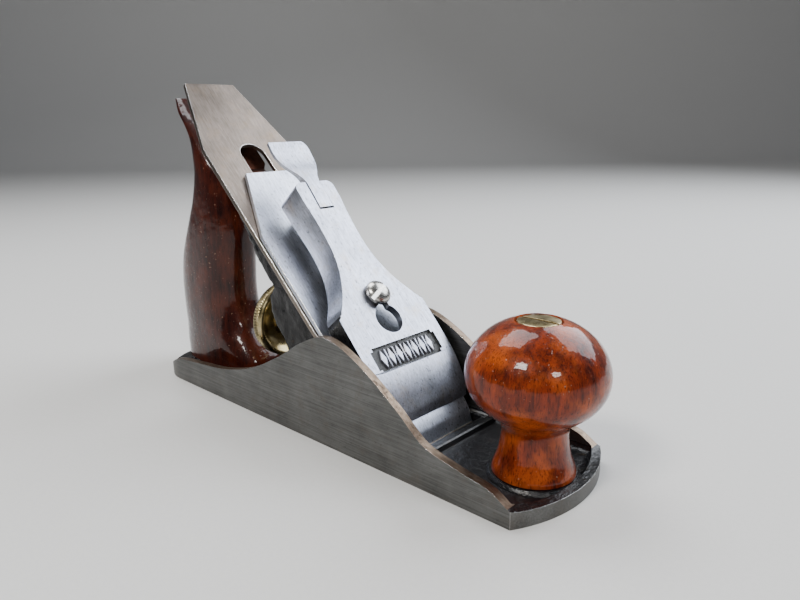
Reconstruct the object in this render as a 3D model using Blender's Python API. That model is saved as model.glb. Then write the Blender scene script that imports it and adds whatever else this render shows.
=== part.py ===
"""A metal bench plane: iron body with a sliding frog, double iron, lever cap, wooden knob and tote.

World frame: +X towards the toe, +Z up, the sole's underside at z = 0, the toe's tip at x = 105 mm.
Bed frame: an empty at the point where the bed's plane meets the sole, turned 45 degrees about Y.
In it, -X runs up the bed (distances "s"), Y is across, and +Z is the bed's normal (heights "h").
All sizes below are millimetres; a mesh is scaled to metres when its object is made.
"""
import math

import bmesh
import bpy
from mathutils import Matrix, Vector

MM = 0.001
GAP = 0.3                      # clearance between neighbouring pieces
SEGMENTS = 32                  # facets round an ordinary turned piece

# body casting
LENGTH = 213.0
WIDTH = 54.0
WALL = 3.0
FLOOR = 3.8
TOE_BULGE = 8.0
HEEL_BULGE = 24.0
TOE_X = 105.0
HEEL_X = TOE_X - LENGTH
WALL_TOP = ((-109, 3.4), (-98, 3.5), (-91, 6.6), (-84, 9.6), (-66, 11.7), (-46, 13.9), (-26, 19.3),
            (-8, 28.0), (8, 37.5), (20, 41.2), (36, 35.5), (53, 24.2), (64, 15.6), (78, 11.9),
            (90, 9.6), (97, 5.8), (106, 5.2))
SEAT = (-22.0, 28.0, 19.0, 9.0)             # frog seat: x from, x to, half width, top
LUG = (-22.0, -4.0, 5.8, 14.0)              # lug for the frog adjusting screw
RIB = (53.5, 56.5, 5.8)                     # rib in front of the mouth: x from, x to, top

# bed, irons
BED_ANGLE = math.radians(45.0)
MOUTH_X = 45.0
MOUTH_FRONT = 50.4
MOUTH_HALF = 22.9
MOUTH_BACK_H = -1.2
IRON = dict(low=0.3, top=2.3, tip=-2.1, bevel_back=1.5, full=144.0, end=182.2, half=22.0, end_half=12.0)
IRON_SLOT = dict(low=54.0, high=140.0, half=6.0, eye=8.5)
CAP_IRON = dict(low=2.6, thick=1.8, front=-0.4, hump=2.0, hump_end=26.0, full=97.0, end=128.6,
                half=21.4, end_half=11.4)

# frog
FROG_TOP = 131.0
FROG_FULL = 95.0
FROG_HALF = 19.2
FROG_TOP_HALF = 14.0
FROG_PLATE = 8.0
FROG_BASE = SEAT[3] + GAP
FROG_BASE_TOP = 15.0
FROG_REAR = -25.5
RIB_INNER = 15.4
RIB_TOP_S = 82.0
FROG_SCREW_X = 6.0
FROG_SCREW_Y = 9.5
SLOT_TRAVEL = 1.2

# positions along the bed
LEVER_SCREW_S = 55.0
YOKE_SLOT = (92.5, 100.6)
CAP_SCREW_S = 106.5
SCREW_GROOVE = (105.8, 110.0, 7.7)          # room for the cap iron screw's head: s from, s to, radius
DISC_S = 119.5
LATERAL_PIVOT_S = 128.0

# depth adjuster
STUD_Z = 32.0
STUD_RADIUS = 3.0
WHEEL_RADIUS = 16.0
WHEEL_REAR = -39.5
WHEEL_FRONT = -33.5
HUB_RADIUS = 7.2
GROOVE_RADIUS = 4.6
GROOVE = (-32.0, -26.4)
FORK_RADIUS = 5.5
HUB_FRONT = -24.4
YOKE_PIVOT = (-21.0, 54.0)
ADJUST_Z = 9.5

# lever cap
CAP_TOP = ((9.0, 7.9), (12.0, 10.2), (17.0, 12.7), (23.0, 14.5), (30.0, 15.5), (49.0, 16.7), (78.0, 19.3),
           (107.0, 22.0))
CAP_SIDE = ((49.0, 21.6), (56.6, 15.7), (65.7, 11.1), (74.0, 8.9), (82.0, 8.3), (91.0, 8.6), (99.0, 9.3))
CAP_FLARE = ((49.0, 0.0), (52.0, 0.25), (60.0, 0.2), (74.0, 0.15), (99.0, 0.1))
CAP_UNDER = ((9.0, 6.9), (20.0, 7.4), (49.0, 8.6), (107.0, 10.2))
CAP_WALL = 2.6
CAP_END = 107.0
KEY_HOLE_S = 45.0
KEY_HOLE_RADIUS = 5.9
KEY_SLOT_HALF = 3.4
CAM_PIN = (101.0, 15.0)
CAM_SLOT_HALF = 3.6
CAM_SLOT_LOW = 94.3
LABEL = (26.3, 36.0, 16.8, 0.6)             # recessed panel: s from, s to, half width, depth

# knob and tote
KNOB_X = 87.7
KNOB_BOSS = (14.2, 5.0)
KNOB_RADIUS = 22.4
KNOB_MIDDLE = 37.5
KNOB_TOP_RISE = 18.2
KNOB_LOW_DROP = 16.5
KNOB_NECK = (10.6, 18.3)
KNOB_FOOT = 13.4
NUT_RADIUS = 6.8
TOTE_BACK = ((4, -106.6), (15, -108.0), (30, -109.0), (42, -109.0), (52, -107.6), (60, -104.6), (70, -99.6),
             (80, -94.6), (90, -91.3), (98, -90.4), (106, -91.6), (113, -95.5), (119, -101.4), (125.2, -105.8))
TOTE_FRONT = ((4, -50.0), (10, -51.0), (16, -55.5), (24, -62.0), (36, -65.6), (52, -64.8), (66, -63.4),
              (78, -64.6), (88, -67.0), (94, -69.0), (100, -74.5), (110, -85.5), (119, -96.0), (125.2, -103.2))
TOTE_HALF = ((4, 13.2), (9, 13.0), (20, 12.9), (40, 12.8), (62, 12.0), (80, 11.0), (88, 10.6), (98, 10.0),
             (108, 8.4), (118, 7.0), (125.2, 4.4))
TOTE_SQUARE = ((4, 0.58), (12, 0.62), (22, 0.76), (60, 0.8), (125.2, 0.86))  # 1 is an ellipse, less is squarer
TOTE_ROD_FOOT = (-69.5, 4.0)
TOTE_ROD_TOP = (-82.0, 104.0)

STEEL = (0.55, 0.55, 0.56)
BRIGHT = (0.72, 0.73, 0.76)
BRASS = (0.62, 0.49, 0.22)
JAPAN = (0.012, 0.012, 0.013)
ROSEWOOD = (0.20, 0.035, 0.012)
DARK_WOOD = (0.09, 0.022, 0.014)


def clear_scene():
    for thing in list(bpy.data.objects):
        bpy.data.objects.remove(thing, do_unlink=True)


def smooth_value(knots, x):
    """A cubic curve through (x, value) knots, with tangents from the neighbouring knots."""
    if x <= knots[0][0]:
        return knots[0][1]
    for i in range(len(knots) - 1):
        if x <= knots[i + 1][0]:
            break
    else:
        return knots[-1][1]

    def slope(j):
        a = knots[max(j - 1, 0)]
        b = knots[min(j + 1, len(knots) - 1)]
        return (b[1] - a[1]) / (b[0] - a[0])

    (x0, v0), (x1, v1) = knots[i], knots[i + 1]
    span = x1 - x0
    t = (x - x0) / span
    hermite = (2 * t**3 - 3 * t**2 + 1, t**3 - 2 * t**2 + t, 3 * t**2 - 2 * t**3, t**3 - t**2)
    return hermite[0] * v0 + hermite[1] * span * slope(i) + hermite[2] * v1 + hermite[3] * span * slope(i + 1)


def steps(low, high, count):
    return [low + (high - low) * i / count for i in range(count + 1)]


def arc(centre, radius, start, end, count):
    """Points on a circle, angles in degrees."""
    return [(centre[0] + radius * math.cos(math.radians(a)), centre[1] + radius * math.sin(math.radians(a)))
            for a in steps(start, end, count)]


def box_outline(x0, x1, y0, y1):
    return [(x0, y0), (x1, y0), (x1, y1), (x0, y1)]


def slot_outline(x0, x1, half, count=8):
    """A slot with round ends whose end circles are centred at x0 and x1."""
    return arc((x1, 0), half, -90, 90, count) + arc((x0, 0), half, 90, 270, count)


def prism(outline, low, high, plane="XY"):
    """A closed prism on an outline in the XY, XZ, YZ, SY (s, y) or SH (s, h) plane."""
    place = {"XY": lambda a, b, c: (a, b, c), "XZ": lambda a, b, c: (a, c, b), "YZ": lambda a, b, c: (c, a, b),
             "SY": lambda a, b, c: (-a, b, c), "SH": lambda a, b, c: (-a, c, b)}[plane]
    bm = bmesh.new()
    rings = [[bm.verts.new(place(a, b, c)) for a, b in outline] for c in (low, high)]
    bm.faces.new(rings[0])
    bm.faces.new(rings[1])
    count = len(outline)
    for i in range(count):
        j = (i + 1) % count
        bm.faces.new((rings[0][i], rings[0][j], rings[1][j], rings[1][i]))
    bmesh.ops.recalc_face_normals(bm, faces=bm.faces)
    return bm


def skin(rings):
    """A closed solid through rings of points, each ring flat-capped at the two ends."""
    bm = bmesh.new()
    loops = [[bm.verts.new(p) for p in ring] for ring in rings]
    count = len(loops[0])
    for low, high in zip(loops, loops[1:]):
        for i in range(count):
            j = (i + 1) % count
            bm.faces.new((low[i], low[j], high[j], high[i]))
    bm.faces.new(loops[0])
    bm.faces.new(loops[-1])
    bmesh.ops.recalc_face_normals(bm, faces=bm.faces)
    return bm


def turned(profile, axis="Z", centre=(0, 0, 0), segments=SEGMENTS):
    """A turned solid on (radius, height) pairs, run along Z, X or Y through a centre."""
    turn = {"Z": Matrix.Identity(3), "X": Matrix.Rotation(math.pi / 2, 3, "Y"),
            "Y": Matrix.Rotation(-math.pi / 2, 3, "X")}[axis]
    rings = []
    for radius, height in profile:
        ring = [Vector((radius * math.cos(a), radius * math.sin(a), height))
                for a in (2 * math.pi * i / segments for i in range(segments))]
        rings.append([turn @ p + Vector(centre) for p in ring])
    return skin(rings)


def rod(radius, low, high, axis="Z", centre=(0, 0, 0), segments=SEGMENTS):
    return turned([(radius, low), (radius, high)], axis, centre, segments)


def bed_rod(radius, s, low, high, segments=SEGMENTS):
    """A cylinder along the bed's normal at distance s, in the bed frame."""
    return rod(radius, low, high, "Z", (-s, 0, 0), segments)


def as_object(bm, name):
    mesh = bpy.data.meshes.new(name)
    bm.to_mesh(mesh)
    bm.free()
    thing = bpy.data.objects.new(name, mesh)
    bpy.context.collection.objects.link(thing)
    return thing


def combine(bm, work, name):
    """Fuse or cut the solid with a list of (operation, bmesh) pairs, in order."""
    thing = as_object(bm, name)
    for i, (operation, tool_bm) in enumerate(work):
        tool = as_object(tool_bm, "%s_tool_%d" % (name, i))
        modifier = thing.modifiers.new("combine", "BOOLEAN")
        modifier.operation = operation
        modifier.solver = "EXACT"
        modifier.object = tool
        bpy.context.view_layer.update()
        graph = bpy.context.evaluated_depsgraph_get()
        mesh = bpy.data.meshes.new_from_object(thing.evaluated_get(graph))
        thing.modifiers.remove(modifier)
        thing.data = mesh
        bpy.data.objects.remove(tool, do_unlink=True)
    result = bmesh.new()
    result.from_mesh(thing.data)
    bpy.data.objects.remove(thing, do_unlink=True)
    return result


def turned_about(bm, matrix):
    bmesh.ops.transform(bm, matrix=matrix, verts=bm.verts)
    return bm


def material(name, colour, roughness, metallic):
    made = bpy.data.materials.new(name)
    made.use_nodes = True
    shader = made.node_tree.nodes["Principled BSDF"]
    shader.inputs["Base Color"].default_value = (*colour, 1.0)
    shader.inputs["Roughness"].default_value = roughness
    shader.inputs["Metallic"].default_value = metallic
    return made


def empty(name, location, parent=None, turn_y=0.0):
    frame = bpy.data.objects.new(name, None)
    bpy.context.collection.objects.link(frame)
    frame.parent = parent
    frame.location = [v * MM for v in location]
    frame.rotation_euler = (0.0, turn_y, 0.0)
    return frame


def piece(name, bm, colour, roughness, metallic, parent=None, origin=(0, 0, 0), smooth=40.0):
    """Make the named object from a solid in millimetres, with its origin at a joint or reference point."""
    bmesh.ops.remove_doubles(bm, verts=bm.verts, dist=0.002)
    bmesh.ops.dissolve_degenerate(bm, edges=bm.edges, dist=0.002)
    bmesh.ops.triangulate(bm, faces=[f for f in bm.faces if len(f.verts) > 4])
    bmesh.ops.transform(bm, matrix=Matrix.Scale(MM, 4) @ Matrix.Translation([-v for v in origin]), verts=bm.verts)
    thing = as_object(bm, name)
    thing.data.materials.append(material(name, colour, roughness, metallic))
    thing.data.shade_smooth()
    thing.data.set_sharp_from_angle(angle=math.radians(smooth))
    thing.parent = parent
    thing.location = [v * MM for v in origin]
    return thing


def plan_outline(inset):
    """The casting's outline from above: straight sides, a shallow toe arc and a rounded heel."""
    half = WIDTH / 2 - inset
    radius = ((WIDTH / 2) ** 2 + TOE_BULGE**2) / (2 * TOE_BULGE)
    centre = TOE_X - radius
    reach = math.degrees(math.asin(half / (radius - inset)))
    toe = arc((centre, 0), radius - inset, -reach, reach, 14)
    heel_start = HEEL_X + HEEL_BULGE
    heel = [(heel_start + (HEEL_BULGE - inset) * math.cos(a), half * math.sin(a))
            for a in steps(math.pi / 2, 3 * math.pi / 2, 20)]
    return toe + heel


def above_walls():
    """Everything above the curved top edge of the side walls."""
    curve = [(x, smooth_value(WALL_TOP, x)) for x in steps(HEEL_X - 1, TOE_X + 1, 64)]
    return prism(curve + [(TOE_X + 1, 60), (HEEL_X - 1, 60)], -40, 40, "XZ")


def mouth_cutter():
    """The mouth: square at the front, sloped with the bed at the back."""
    back = MOUTH_X + MOUTH_BACK_H * math.sqrt(2)
    top = FLOOR + 1
    return prism([(MOUTH_FRONT, -1), (MOUTH_FRONT, top), (back - top, top), (back + 1, -1)],
                 -MOUTH_HALF, MOUTH_HALF, "XZ")


def make_body():
    half = WIDTH / 2
    seat_block = prism(box_outline(SEAT[0], SEAT[1], -SEAT[2], SEAT[2]), FLOOR - 1, SEAT[3])
    lug_block = prism(box_outline(LUG[0], LUG[1], -LUG[2], LUG[2]), FLOOR - 1, LUG[3])
    rib_block = prism(box_outline(RIB[0], RIB[1], 1 - half, half - 1), FLOOR - 1, RIB[2])
    work = [("DIFFERENCE", above_walls()),
            ("DIFFERENCE", prism(plan_outline(WALL), FLOOR, 60)),
            ("UNION", rod(KNOB_BOSS[0], FLOOR - 1, KNOB_BOSS[1], "Z", (KNOB_X, 0, 0))),
            ("UNION", seat_block), ("UNION", lug_block), ("UNION", rib_block),
            ("DIFFERENCE", mouth_cutter()),
            ("DIFFERENCE", rod(STUD_RADIUS + GAP, 1.4, 12, "Z", (KNOB_X, 0, 0), 20)),
            ("DIFFERENCE", rod(2.6, LUG[0] - 1, -6, "X", (0, 0, ADJUST_Z), 20)),
            ("DIFFERENCE", turned_about(rod(STUD_RADIUS + GAP, -2.4, 9, segments=20), tote_rod_matrix()))]
    for side in (-1, 1):
        hole = rod(STUD_RADIUS + GAP, 2.0, 12, "Z", (FROG_SCREW_X, side * FROG_SCREW_Y, 0), 20)
        work.append(("DIFFERENCE", hole))
    casting = combine(prism(plan_outline(0), 0, 50), work, "body")
    piece("body_casting", casting, STEEL, 0.35, 0.9)


def frog_side_profile():
    """A side rib of the frog, from the seat up under the bed plate."""
    slope = math.sqrt(0.5)
    under = FROG_PLATE - 1
    foot = (MOUTH_X - FROG_BASE - under * math.sqrt(2), FROG_BASE)
    top = (MOUTH_X - (RIB_TOP_S + under) * slope, (RIB_TOP_S - under) * slope)
    return [foot, top, (-22.0, 48.0), (-21.6, 43.0), (-19.6, 36.5), (-15.5, 33.0), (-12.5, 28.0),
            (-14.5, 21.0), (FROG_REAR, 17.0), (FROG_REAR, FROG_BASE)]


def frog_web_profile():
    """The middle web that ties the base, the stud's boss and the bed plate together."""
    under = (FROG_PLATE - 1) * math.sqrt(2)
    return [(-22.5, FROG_BASE_TOP - 1), (MOUTH_X - FROG_BASE_TOP - under, FROG_BASE_TOP - 1),
            (MOUTH_X - 46.0 - under, 46.0), (-17.5, 44.0), (-22.5, 40.0)]


def make_frog(bed_matrix):
    """The frog: a sloping bed plate on ribs, a base that slides on its seat, and a boss for the stud."""
    low_s = FROG_BASE * math.sqrt(2)
    plate = [(low_s, -FROG_HALF), (FROG_FULL, -FROG_HALF), (FROG_TOP, -FROG_TOP_HALF), (FROG_TOP, FROG_TOP_HALF),
             (FROG_FULL, FROG_HALF), (low_s, FROG_HALF)]
    start = turned_about(prism(plate, -FROG_PLATE, 0, "SY"), bed_matrix)
    work = []
    for side in (-1, 1):
        edges = sorted((side * RIB_INNER, side * (FROG_HALF - 0.2)))
        work.append(("UNION", prism(frog_side_profile(), edges[0], edges[1], "XZ")))
    nose = MOUTH_X - FROG_BASE_TOP - 4
    base = [(FROG_REAR, FROG_BASE), (nose + 9, FROG_BASE), (nose, FROG_BASE_TOP), (FROG_REAR, FROG_BASE_TOP)]
    work += [("UNION", prism(base, -FROG_HALF + 0.4, FROG_HALF - 0.4, "XZ")),
             ("UNION", prism(frog_web_profile(), -3.5, 3.5, "XZ")),
             ("UNION", rod(8.5, -23.6, -1.0, "X", (0, 0, STUD_Z), 24)),
             ("UNION", prism(box_outline(FROG_REAR, FROG_REAR + 5, FROG_BASE_TOP - 1, 24.0), -8.0, 8.0, "XZ")),
             ("UNION", prism(box_outline(-26.0, -16.0, 47.0, 60.0), -8.0, 8.0, "XZ")),
             ("UNION", turned_about(bed_rod(7.0, LEVER_SCREW_S, -16, -1, 24), bed_matrix)),
             ("DIFFERENCE", prism(box_outline(FROG_REAR - 1, MOUTH_X, 0, FROG_BASE), -40, 40, "XZ")),
             ("DIFFERENCE", prism(box_outline(FROG_REAR - 1, 1.0, 0, LUG[3] + 0.6), -6.4, 6.4, "XZ")),
             ("DIFFERENCE", prism(box_outline(-30.0, -15.0, 45.5, 73.0), -3.3, 3.3, "XZ")),
             ("DIFFERENCE", rod(STUD_RADIUS + GAP, -29.0, -7.0, "X", (0, 0, STUD_Z), 20)),
             ("DIFFERENCE", rod(1.9, -9.0, 9.0, "Y", (YOKE_PIVOT[0], 0, YOKE_PIVOT[1]), 16)),
             ("DIFFERENCE", rod(1.6, FROG_REAR - 1, FROG_REAR + 4.2, "X", (0, 0, 20.0), 16)),
             ("DIFFERENCE", turned_about(bed_rod(STUD_RADIUS + 0.4, LEVER_SCREW_S, -18, 2, 20), bed_matrix)),
             ("DIFFERENCE", turned_about(prism(slot_outline(*SCREW_GROOVE), -5.0, 2, "SY"), bed_matrix)),
             ("DIFFERENCE", turned_about(prism(box_outline(114.0, FROG_TOP + 2, -6.6, 6.6), -3.2, 2, "SY"),
                                         bed_matrix)),
             ("DIFFERENCE", turned_about(bed_rod(2.2, LATERAL_PIVOT_S, -9.5, 2, 16), bed_matrix))]
    for side in (-1, 1):
        shank = slot_outline(FROG_SCREW_X - SLOT_TRAVEL, FROG_SCREW_X + SLOT_TRAVEL, STUD_RADIUS + 0.2)
        access = slot_outline(FROG_SCREW_X - SLOT_TRAVEL, FROG_SCREW_X + SLOT_TRAVEL, 5.6)
        lift = Matrix.Translation((0, side * FROG_SCREW_Y, 0))
        work.append(("DIFFERENCE", turned_about(prism(shank, 5, 20), lift)))
        work.append(("DIFFERENCE", turned_about(prism(access, FROG_BASE_TOP, 60), lift)))
    frog = combine(start, work, "frog")
    piece("frog", frog, JAPAN, 0.35, 0.0)


def make_frog_fasteners():
    """Two clamping screws with washers, and the adjusting screw with its forked plate."""
    washer_low = FROG_BASE_TOP + GAP
    head_low = washer_low + 1.0 + GAP
    for side, word in ((-1, "left"), (1, "right")):
        centre = (FROG_SCREW_X, side * FROG_SCREW_Y, 0)
        washer = combine(rod(5.0, washer_low, washer_low + 1.0, "Z", centre, 24),
                         [("DIFFERENCE", rod(STUD_RADIUS + GAP, 0, 30, "Z", centre, 24))], "washer")
        piece("frog_washer_%s" % word, washer, STEEL, 0.4, 1.0, origin=centre)
        screw = turned([(2.9, 2.4), (2.9, head_low), (4.7, head_low), (4.7, head_low + 2.6), (4.0, head_low + 3.2)],
                       "Z", centre, 24)
        slot = prism(box_outline(centre[0] - 6, centre[0] + 6, centre[1] - 0.6, centre[1] + 0.6),
                     head_low + 1.9, head_low + 5)
        piece("frog_screw_%s" % word, combine(screw, [("DIFFERENCE", slot)], "screw"), STEEL, 0.35, 1.0,
              origin=centre)

    groove = (FROG_REAR - 2.6, FROG_REAR)
    head_end = groove[0] - 5.0
    screw = turned([(4.5, head_end), (4.5, groove[0]), (2.5, groove[0]), (2.5, groove[1]), (3.9, groove[1]),
                    (3.9, groove[1] + 1.4), (2.2, groove[1] + 1.4), (2.2, -8.0)], "X", (0, 0, ADJUST_Z), 24)
    slot = prism(box_outline(head_end - 1, head_end + 2.0, ADJUST_Z - 0.6, ADJUST_Z + 0.6), -6, 6, "XZ")
    piece("frog_adjust_screw", combine(screw, [("DIFFERENCE", slot)], "screw"), STEEL, 0.35, 1.0,
          origin=(head_end, 0, ADJUST_Z))

    plate_x = (FROG_REAR - 2.3, FROG_REAR - GAP)
    outline = ([(-7.0, 5.2), (-2.8, 5.2)] + arc((0, ADJUST_Z), 2.8, 180, 0, 8)
               + [(2.8, 5.2), (7.0, 5.2), (7.0, 20.0)] + arc((0, 20.0), 4.6, 30, 150, 6) + [(-7.0, 20.0)])
    plate = combine(prism(outline, plate_x[0], plate_x[1], "YZ"),
                    [("DIFFERENCE", rod(1.6, FROG_REAR - 9, FROG_REAR + 9, "X", (0, 0, 20.0), 16))], "plate")
    piece("frog_adjust_plate", plate, STEEL, 0.4, 1.0, origin=(FROG_REAR, 0, 20.0))

    head_x = plate_x[0] - GAP
    screw = turned([(2.6, head_x - 1.8), (3.4, head_x - 1.2), (3.4, head_x), (1.3, head_x), (1.3, FROG_REAR + 3.6)], "X",
                   (0, 0, 20.0), 20)
    slot = prism(box_outline(head_x - 3, head_x - 0.9, 19.6, 20.4), -5, 5, "XZ")
    piece("frog_plate_screw", combine(screw, [("DIFFERENCE", slot)], "screw"), STEEL, 0.35, 1.0,
          origin=(head_x, 0, 20.0))


def make_depth_adjuster():
    """The stud, the knurled brass wheel with its grooved hub, and the yoke lever on its pin."""
    stud = turned([(2.6, -45.4), (STUD_RADIUS, -45.0), (STUD_RADIUS, -7.6)], "X", (0, 0, STUD_Z), 24)
    piece("depth_stud", stud, STEEL, 0.4, 1.0, origin=(-24.0, 0, STUD_Z))

    teeth = 48
    face = WHEEL_RADIUS
    rear, front = WHEEL_REAR, WHEEL_FRONT
    profile = [(6.0, rear - 2.4), (6.4, rear + 0.4), (12.6, rear + 1.0), (face - 1.0, rear), (face, rear + 0.8),
               (face, front - 0.8), (face - 1.0, front), (13.6, front - 0.4), (11.4, front - 2.8),
               (HUB_RADIUS, front - 2.6), (HUB_RADIUS, GROOVE[0]), (GROOVE_RADIUS, GROOVE[0]),
               (GROOVE_RADIUS, GROOVE[1]), (HUB_RADIUS, GROOVE[1]), (HUB_RADIUS, HUB_FRONT)]
    wheel = turned(profile, "X", (0, 0, STUD_Z), teeth)
    bore = rod(STUD_RADIUS + GAP, -50, -20, "X", (0, 0, STUD_Z), 24)
    piece("depth_wheel", combine(wheel, [("DIFFERENCE", bore)], "wheel"), BRASS, 0.3, 1.0,
          origin=(rear, 0, STUD_Z))

    x, z = YOKE_PIVOT
    fork_x = (-30.2, -28.2)
    arm = (arc((-20.6, 70.6), 1.6, 20, 180, 6)
           + [(x - 2.3, 58.0)] + arc((x, z), 3.3, 160, 205, 3)
           + [(fork_x[0], 44.6), (fork_x[0], 40.0), (fork_x[1], 40.0), (fork_x[1], 42.6), (x + 1.6, 50.8)]
           + arc((x, z), 3.3, -40, 20, 4) + [(x + 2.3, 58.0)])
    outside = arc((0, STUD_Z), 8.0, 30, 150, 10)
    inside = arc((0, STUD_Z), FORK_RADIUS, 170, 10, 12)
    fork = outside + [(-8.0, 29.0), (-FORK_RADIUS, 29.0)] + inside + [(FORK_RADIUS, 29.0), (8.0, 29.0)]
    lever = combine(prism(arm, -2.6, 2.6, "XZ"),
                    [("UNION", prism(fork, fork_x[0], fork_x[1], "YZ")),
                     ("UNION", prism(box_outline(fork_x[0], fork_x[1], 38.4, 43.6), -3.6, 3.6, "XZ")),
                     ("DIFFERENCE", rod(1.9, -9.0, 9.0, "Y", (x, 0, z), 16))], "lever")
    piece("y_lever", lever, STEEL, 0.4, 0.8, origin=(x, 0, z))
    piece("y_lever_pin", rod(1.6, -7.8, 7.8, "Y", (x, 0, z), 16), STEEL, 0.35, 1.0, origin=(x, 0, z))


def taper_cuts(full, end, half, end_half):
    """Cuts that draw a blade in from its full half width to its end half width."""
    slope = (half - end_half) / (end - full)
    cuts = []
    for side in (-1, 1):
        corner = [(full - 2, side * (half + 2 * slope)), (end + 2, side * (end_half - 2 * slope)),
                  (end + 2, side * (half + 4)), (full - 2, side * (half + 4))]
        cuts.append(("DIFFERENCE", prism(corner, -5, 12, "SY")))
    return cuts


def make_iron(bed):
    low, top = IRON["low"], IRON["top"]
    section = [(IRON["tip"], top), (IRON["bevel_back"], low), (IRON["end"], low), (IRON["end"], top)]
    half, end_half = IRON["half"], IRON["end_half"]
    work = taper_cuts(IRON["full"], IRON["end"], half, end_half)
    slot = IRON_SLOT
    work += [("DIFFERENCE", prism(slot_outline(slot["low"], slot["high"], slot["half"]), -5, 8, "SY")),
             ("DIFFERENCE", bed_rod(slot["eye"], slot["low"], -5, 8, 24))]
    iron = combine(prism(section, -half, half, "SH"), work, "iron")
    piece("cutting_iron", iron, STEEL, 0.35, 1.0, parent=bed)


def cap_iron_section():
    """The cap iron from the side: flat above, humped near its front edge, which bears on the iron."""
    size = CAP_IRON
    lower = []
    upper = []
    for s in steps(size["front"], size["hump_end"], 14):
        t = (s - size["front"]) / (size["hump_end"] - size["front"])
        rise = size["hump"] * math.sin(math.pi * t**0.8) ** 2
        thickness = size["thick"] * min(1.0, 0.2 + 5.0 * t)
        lower.append((s, size["low"] + rise))
        upper.append((s, size["low"] + rise + thickness))
    end = [(size["end"], size["low"]), (size["end"], size["low"] + size["thick"])]
    return lower + end + upper[::-1]


def make_cap_iron(bed):
    size = CAP_IRON
    half, end_half = size["half"], size["end_half"]
    work = taper_cuts(size["full"], size["end"], half, end_half)
    work += [("DIFFERENCE", bed_rod(7.0, LEVER_SCREW_S, -5, 12, 24)),
             ("DIFFERENCE", prism(box_outline(YOKE_SLOT[0], YOKE_SLOT[1], -5.0, 5.0), -5, 12, "SY")),
             ("DIFFERENCE", bed_rod(3.3, CAP_SCREW_S, -5, 12, 20))]
    iron = combine(prism(cap_iron_section(), -half, half, "SH"), work, "cap_iron")
    piece("cap_iron", iron, BRIGHT, 0.3, 1.0, parent=bed)

    screw = turned([(6.0, -3.9), (6.8, -3.3), (6.8, 0.0), (3.0, 0.0), (3.0, 4.6)], "Z", (-CAP_SCREW_S, 0, 0), 24)
    slot = prism(box_outline(CAP_SCREW_S - 9, CAP_SCREW_S + 9, -0.8, 0.8), -6, -2.6, "SY")
    piece("cap_iron_screw", combine(screw, [("DIFFERENCE", slot)], "screw"), STEEL, 0.35, 1.0, parent=bed,
          origin=(-CAP_SCREW_S, 0, 0))


def lever_cap_half(s):
    """The half width of the cap's top face, with the lobes rounded off at its upper end."""
    lobe = 3.0
    half = smooth_value(CAP_SIDE, min(s, CAP_SIDE[-1][0]))
    past = max(s - (CAP_END - lobe), 0.0)
    return half - lobe + math.sqrt(max(lobe**2 - past**2, 0.0))


def lever_cap_block():
    """A tapered block on the cap's plan: its sides flare outwards below the edge of the top face."""
    low, high = 4.0, 26.0
    along = [9.0] + steps(CAP_SIDE[0][0], 99.0, 12) + [103.0, 104.8, 106.2, CAP_END - 0.05]
    rings = []
    for level in (low, high):
        edge = []
        for s in along:
            flare = smooth_value(CAP_FLARE, s) * (smooth_value(CAP_TOP, s) - level)
            edge.append((s, min(lever_cap_half(s) + flare, CAP_SIDE[0][1])))
        rings.append([(-s, y, level) for s, y in edge] + [(-s, -y, level) for s, y in edge[::-1]])
    return skin(rings)


def lever_cap_section():
    """The lever cap from the side, between its top curve and its underside."""
    top = [(s, smooth_value(CAP_TOP, s)) for s in steps(9.0, 30.0, 9) + steps(38.0, CAP_END + 1, 6)]
    under = list(CAP_UNDER[:-1]) + [(CAP_END + 1, CAP_UNDER[-1][1])]
    return under + top[::-1]


def pocket_plan():
    """The hollow under the lever cap, one wall thickness inside its sides."""
    side = [(s, smooth_value(CAP_SIDE, s) - CAP_WALL) for s in steps(CAP_SIDE[0][0], 86.0, 9)]
    right = [(22.0, CAP_SIDE[0][1] - CAP_WALL)] + side
    return right + [(s, -y) for s, y in right[::-1]]


def pocket_section():
    top = [(s, smooth_value(CAP_TOP, s) - 3.0) for s in steps(22.0, 86.0, 8)]
    return [(22.0, 3.0), (86.0, 3.0)] + top[::-1]


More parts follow.
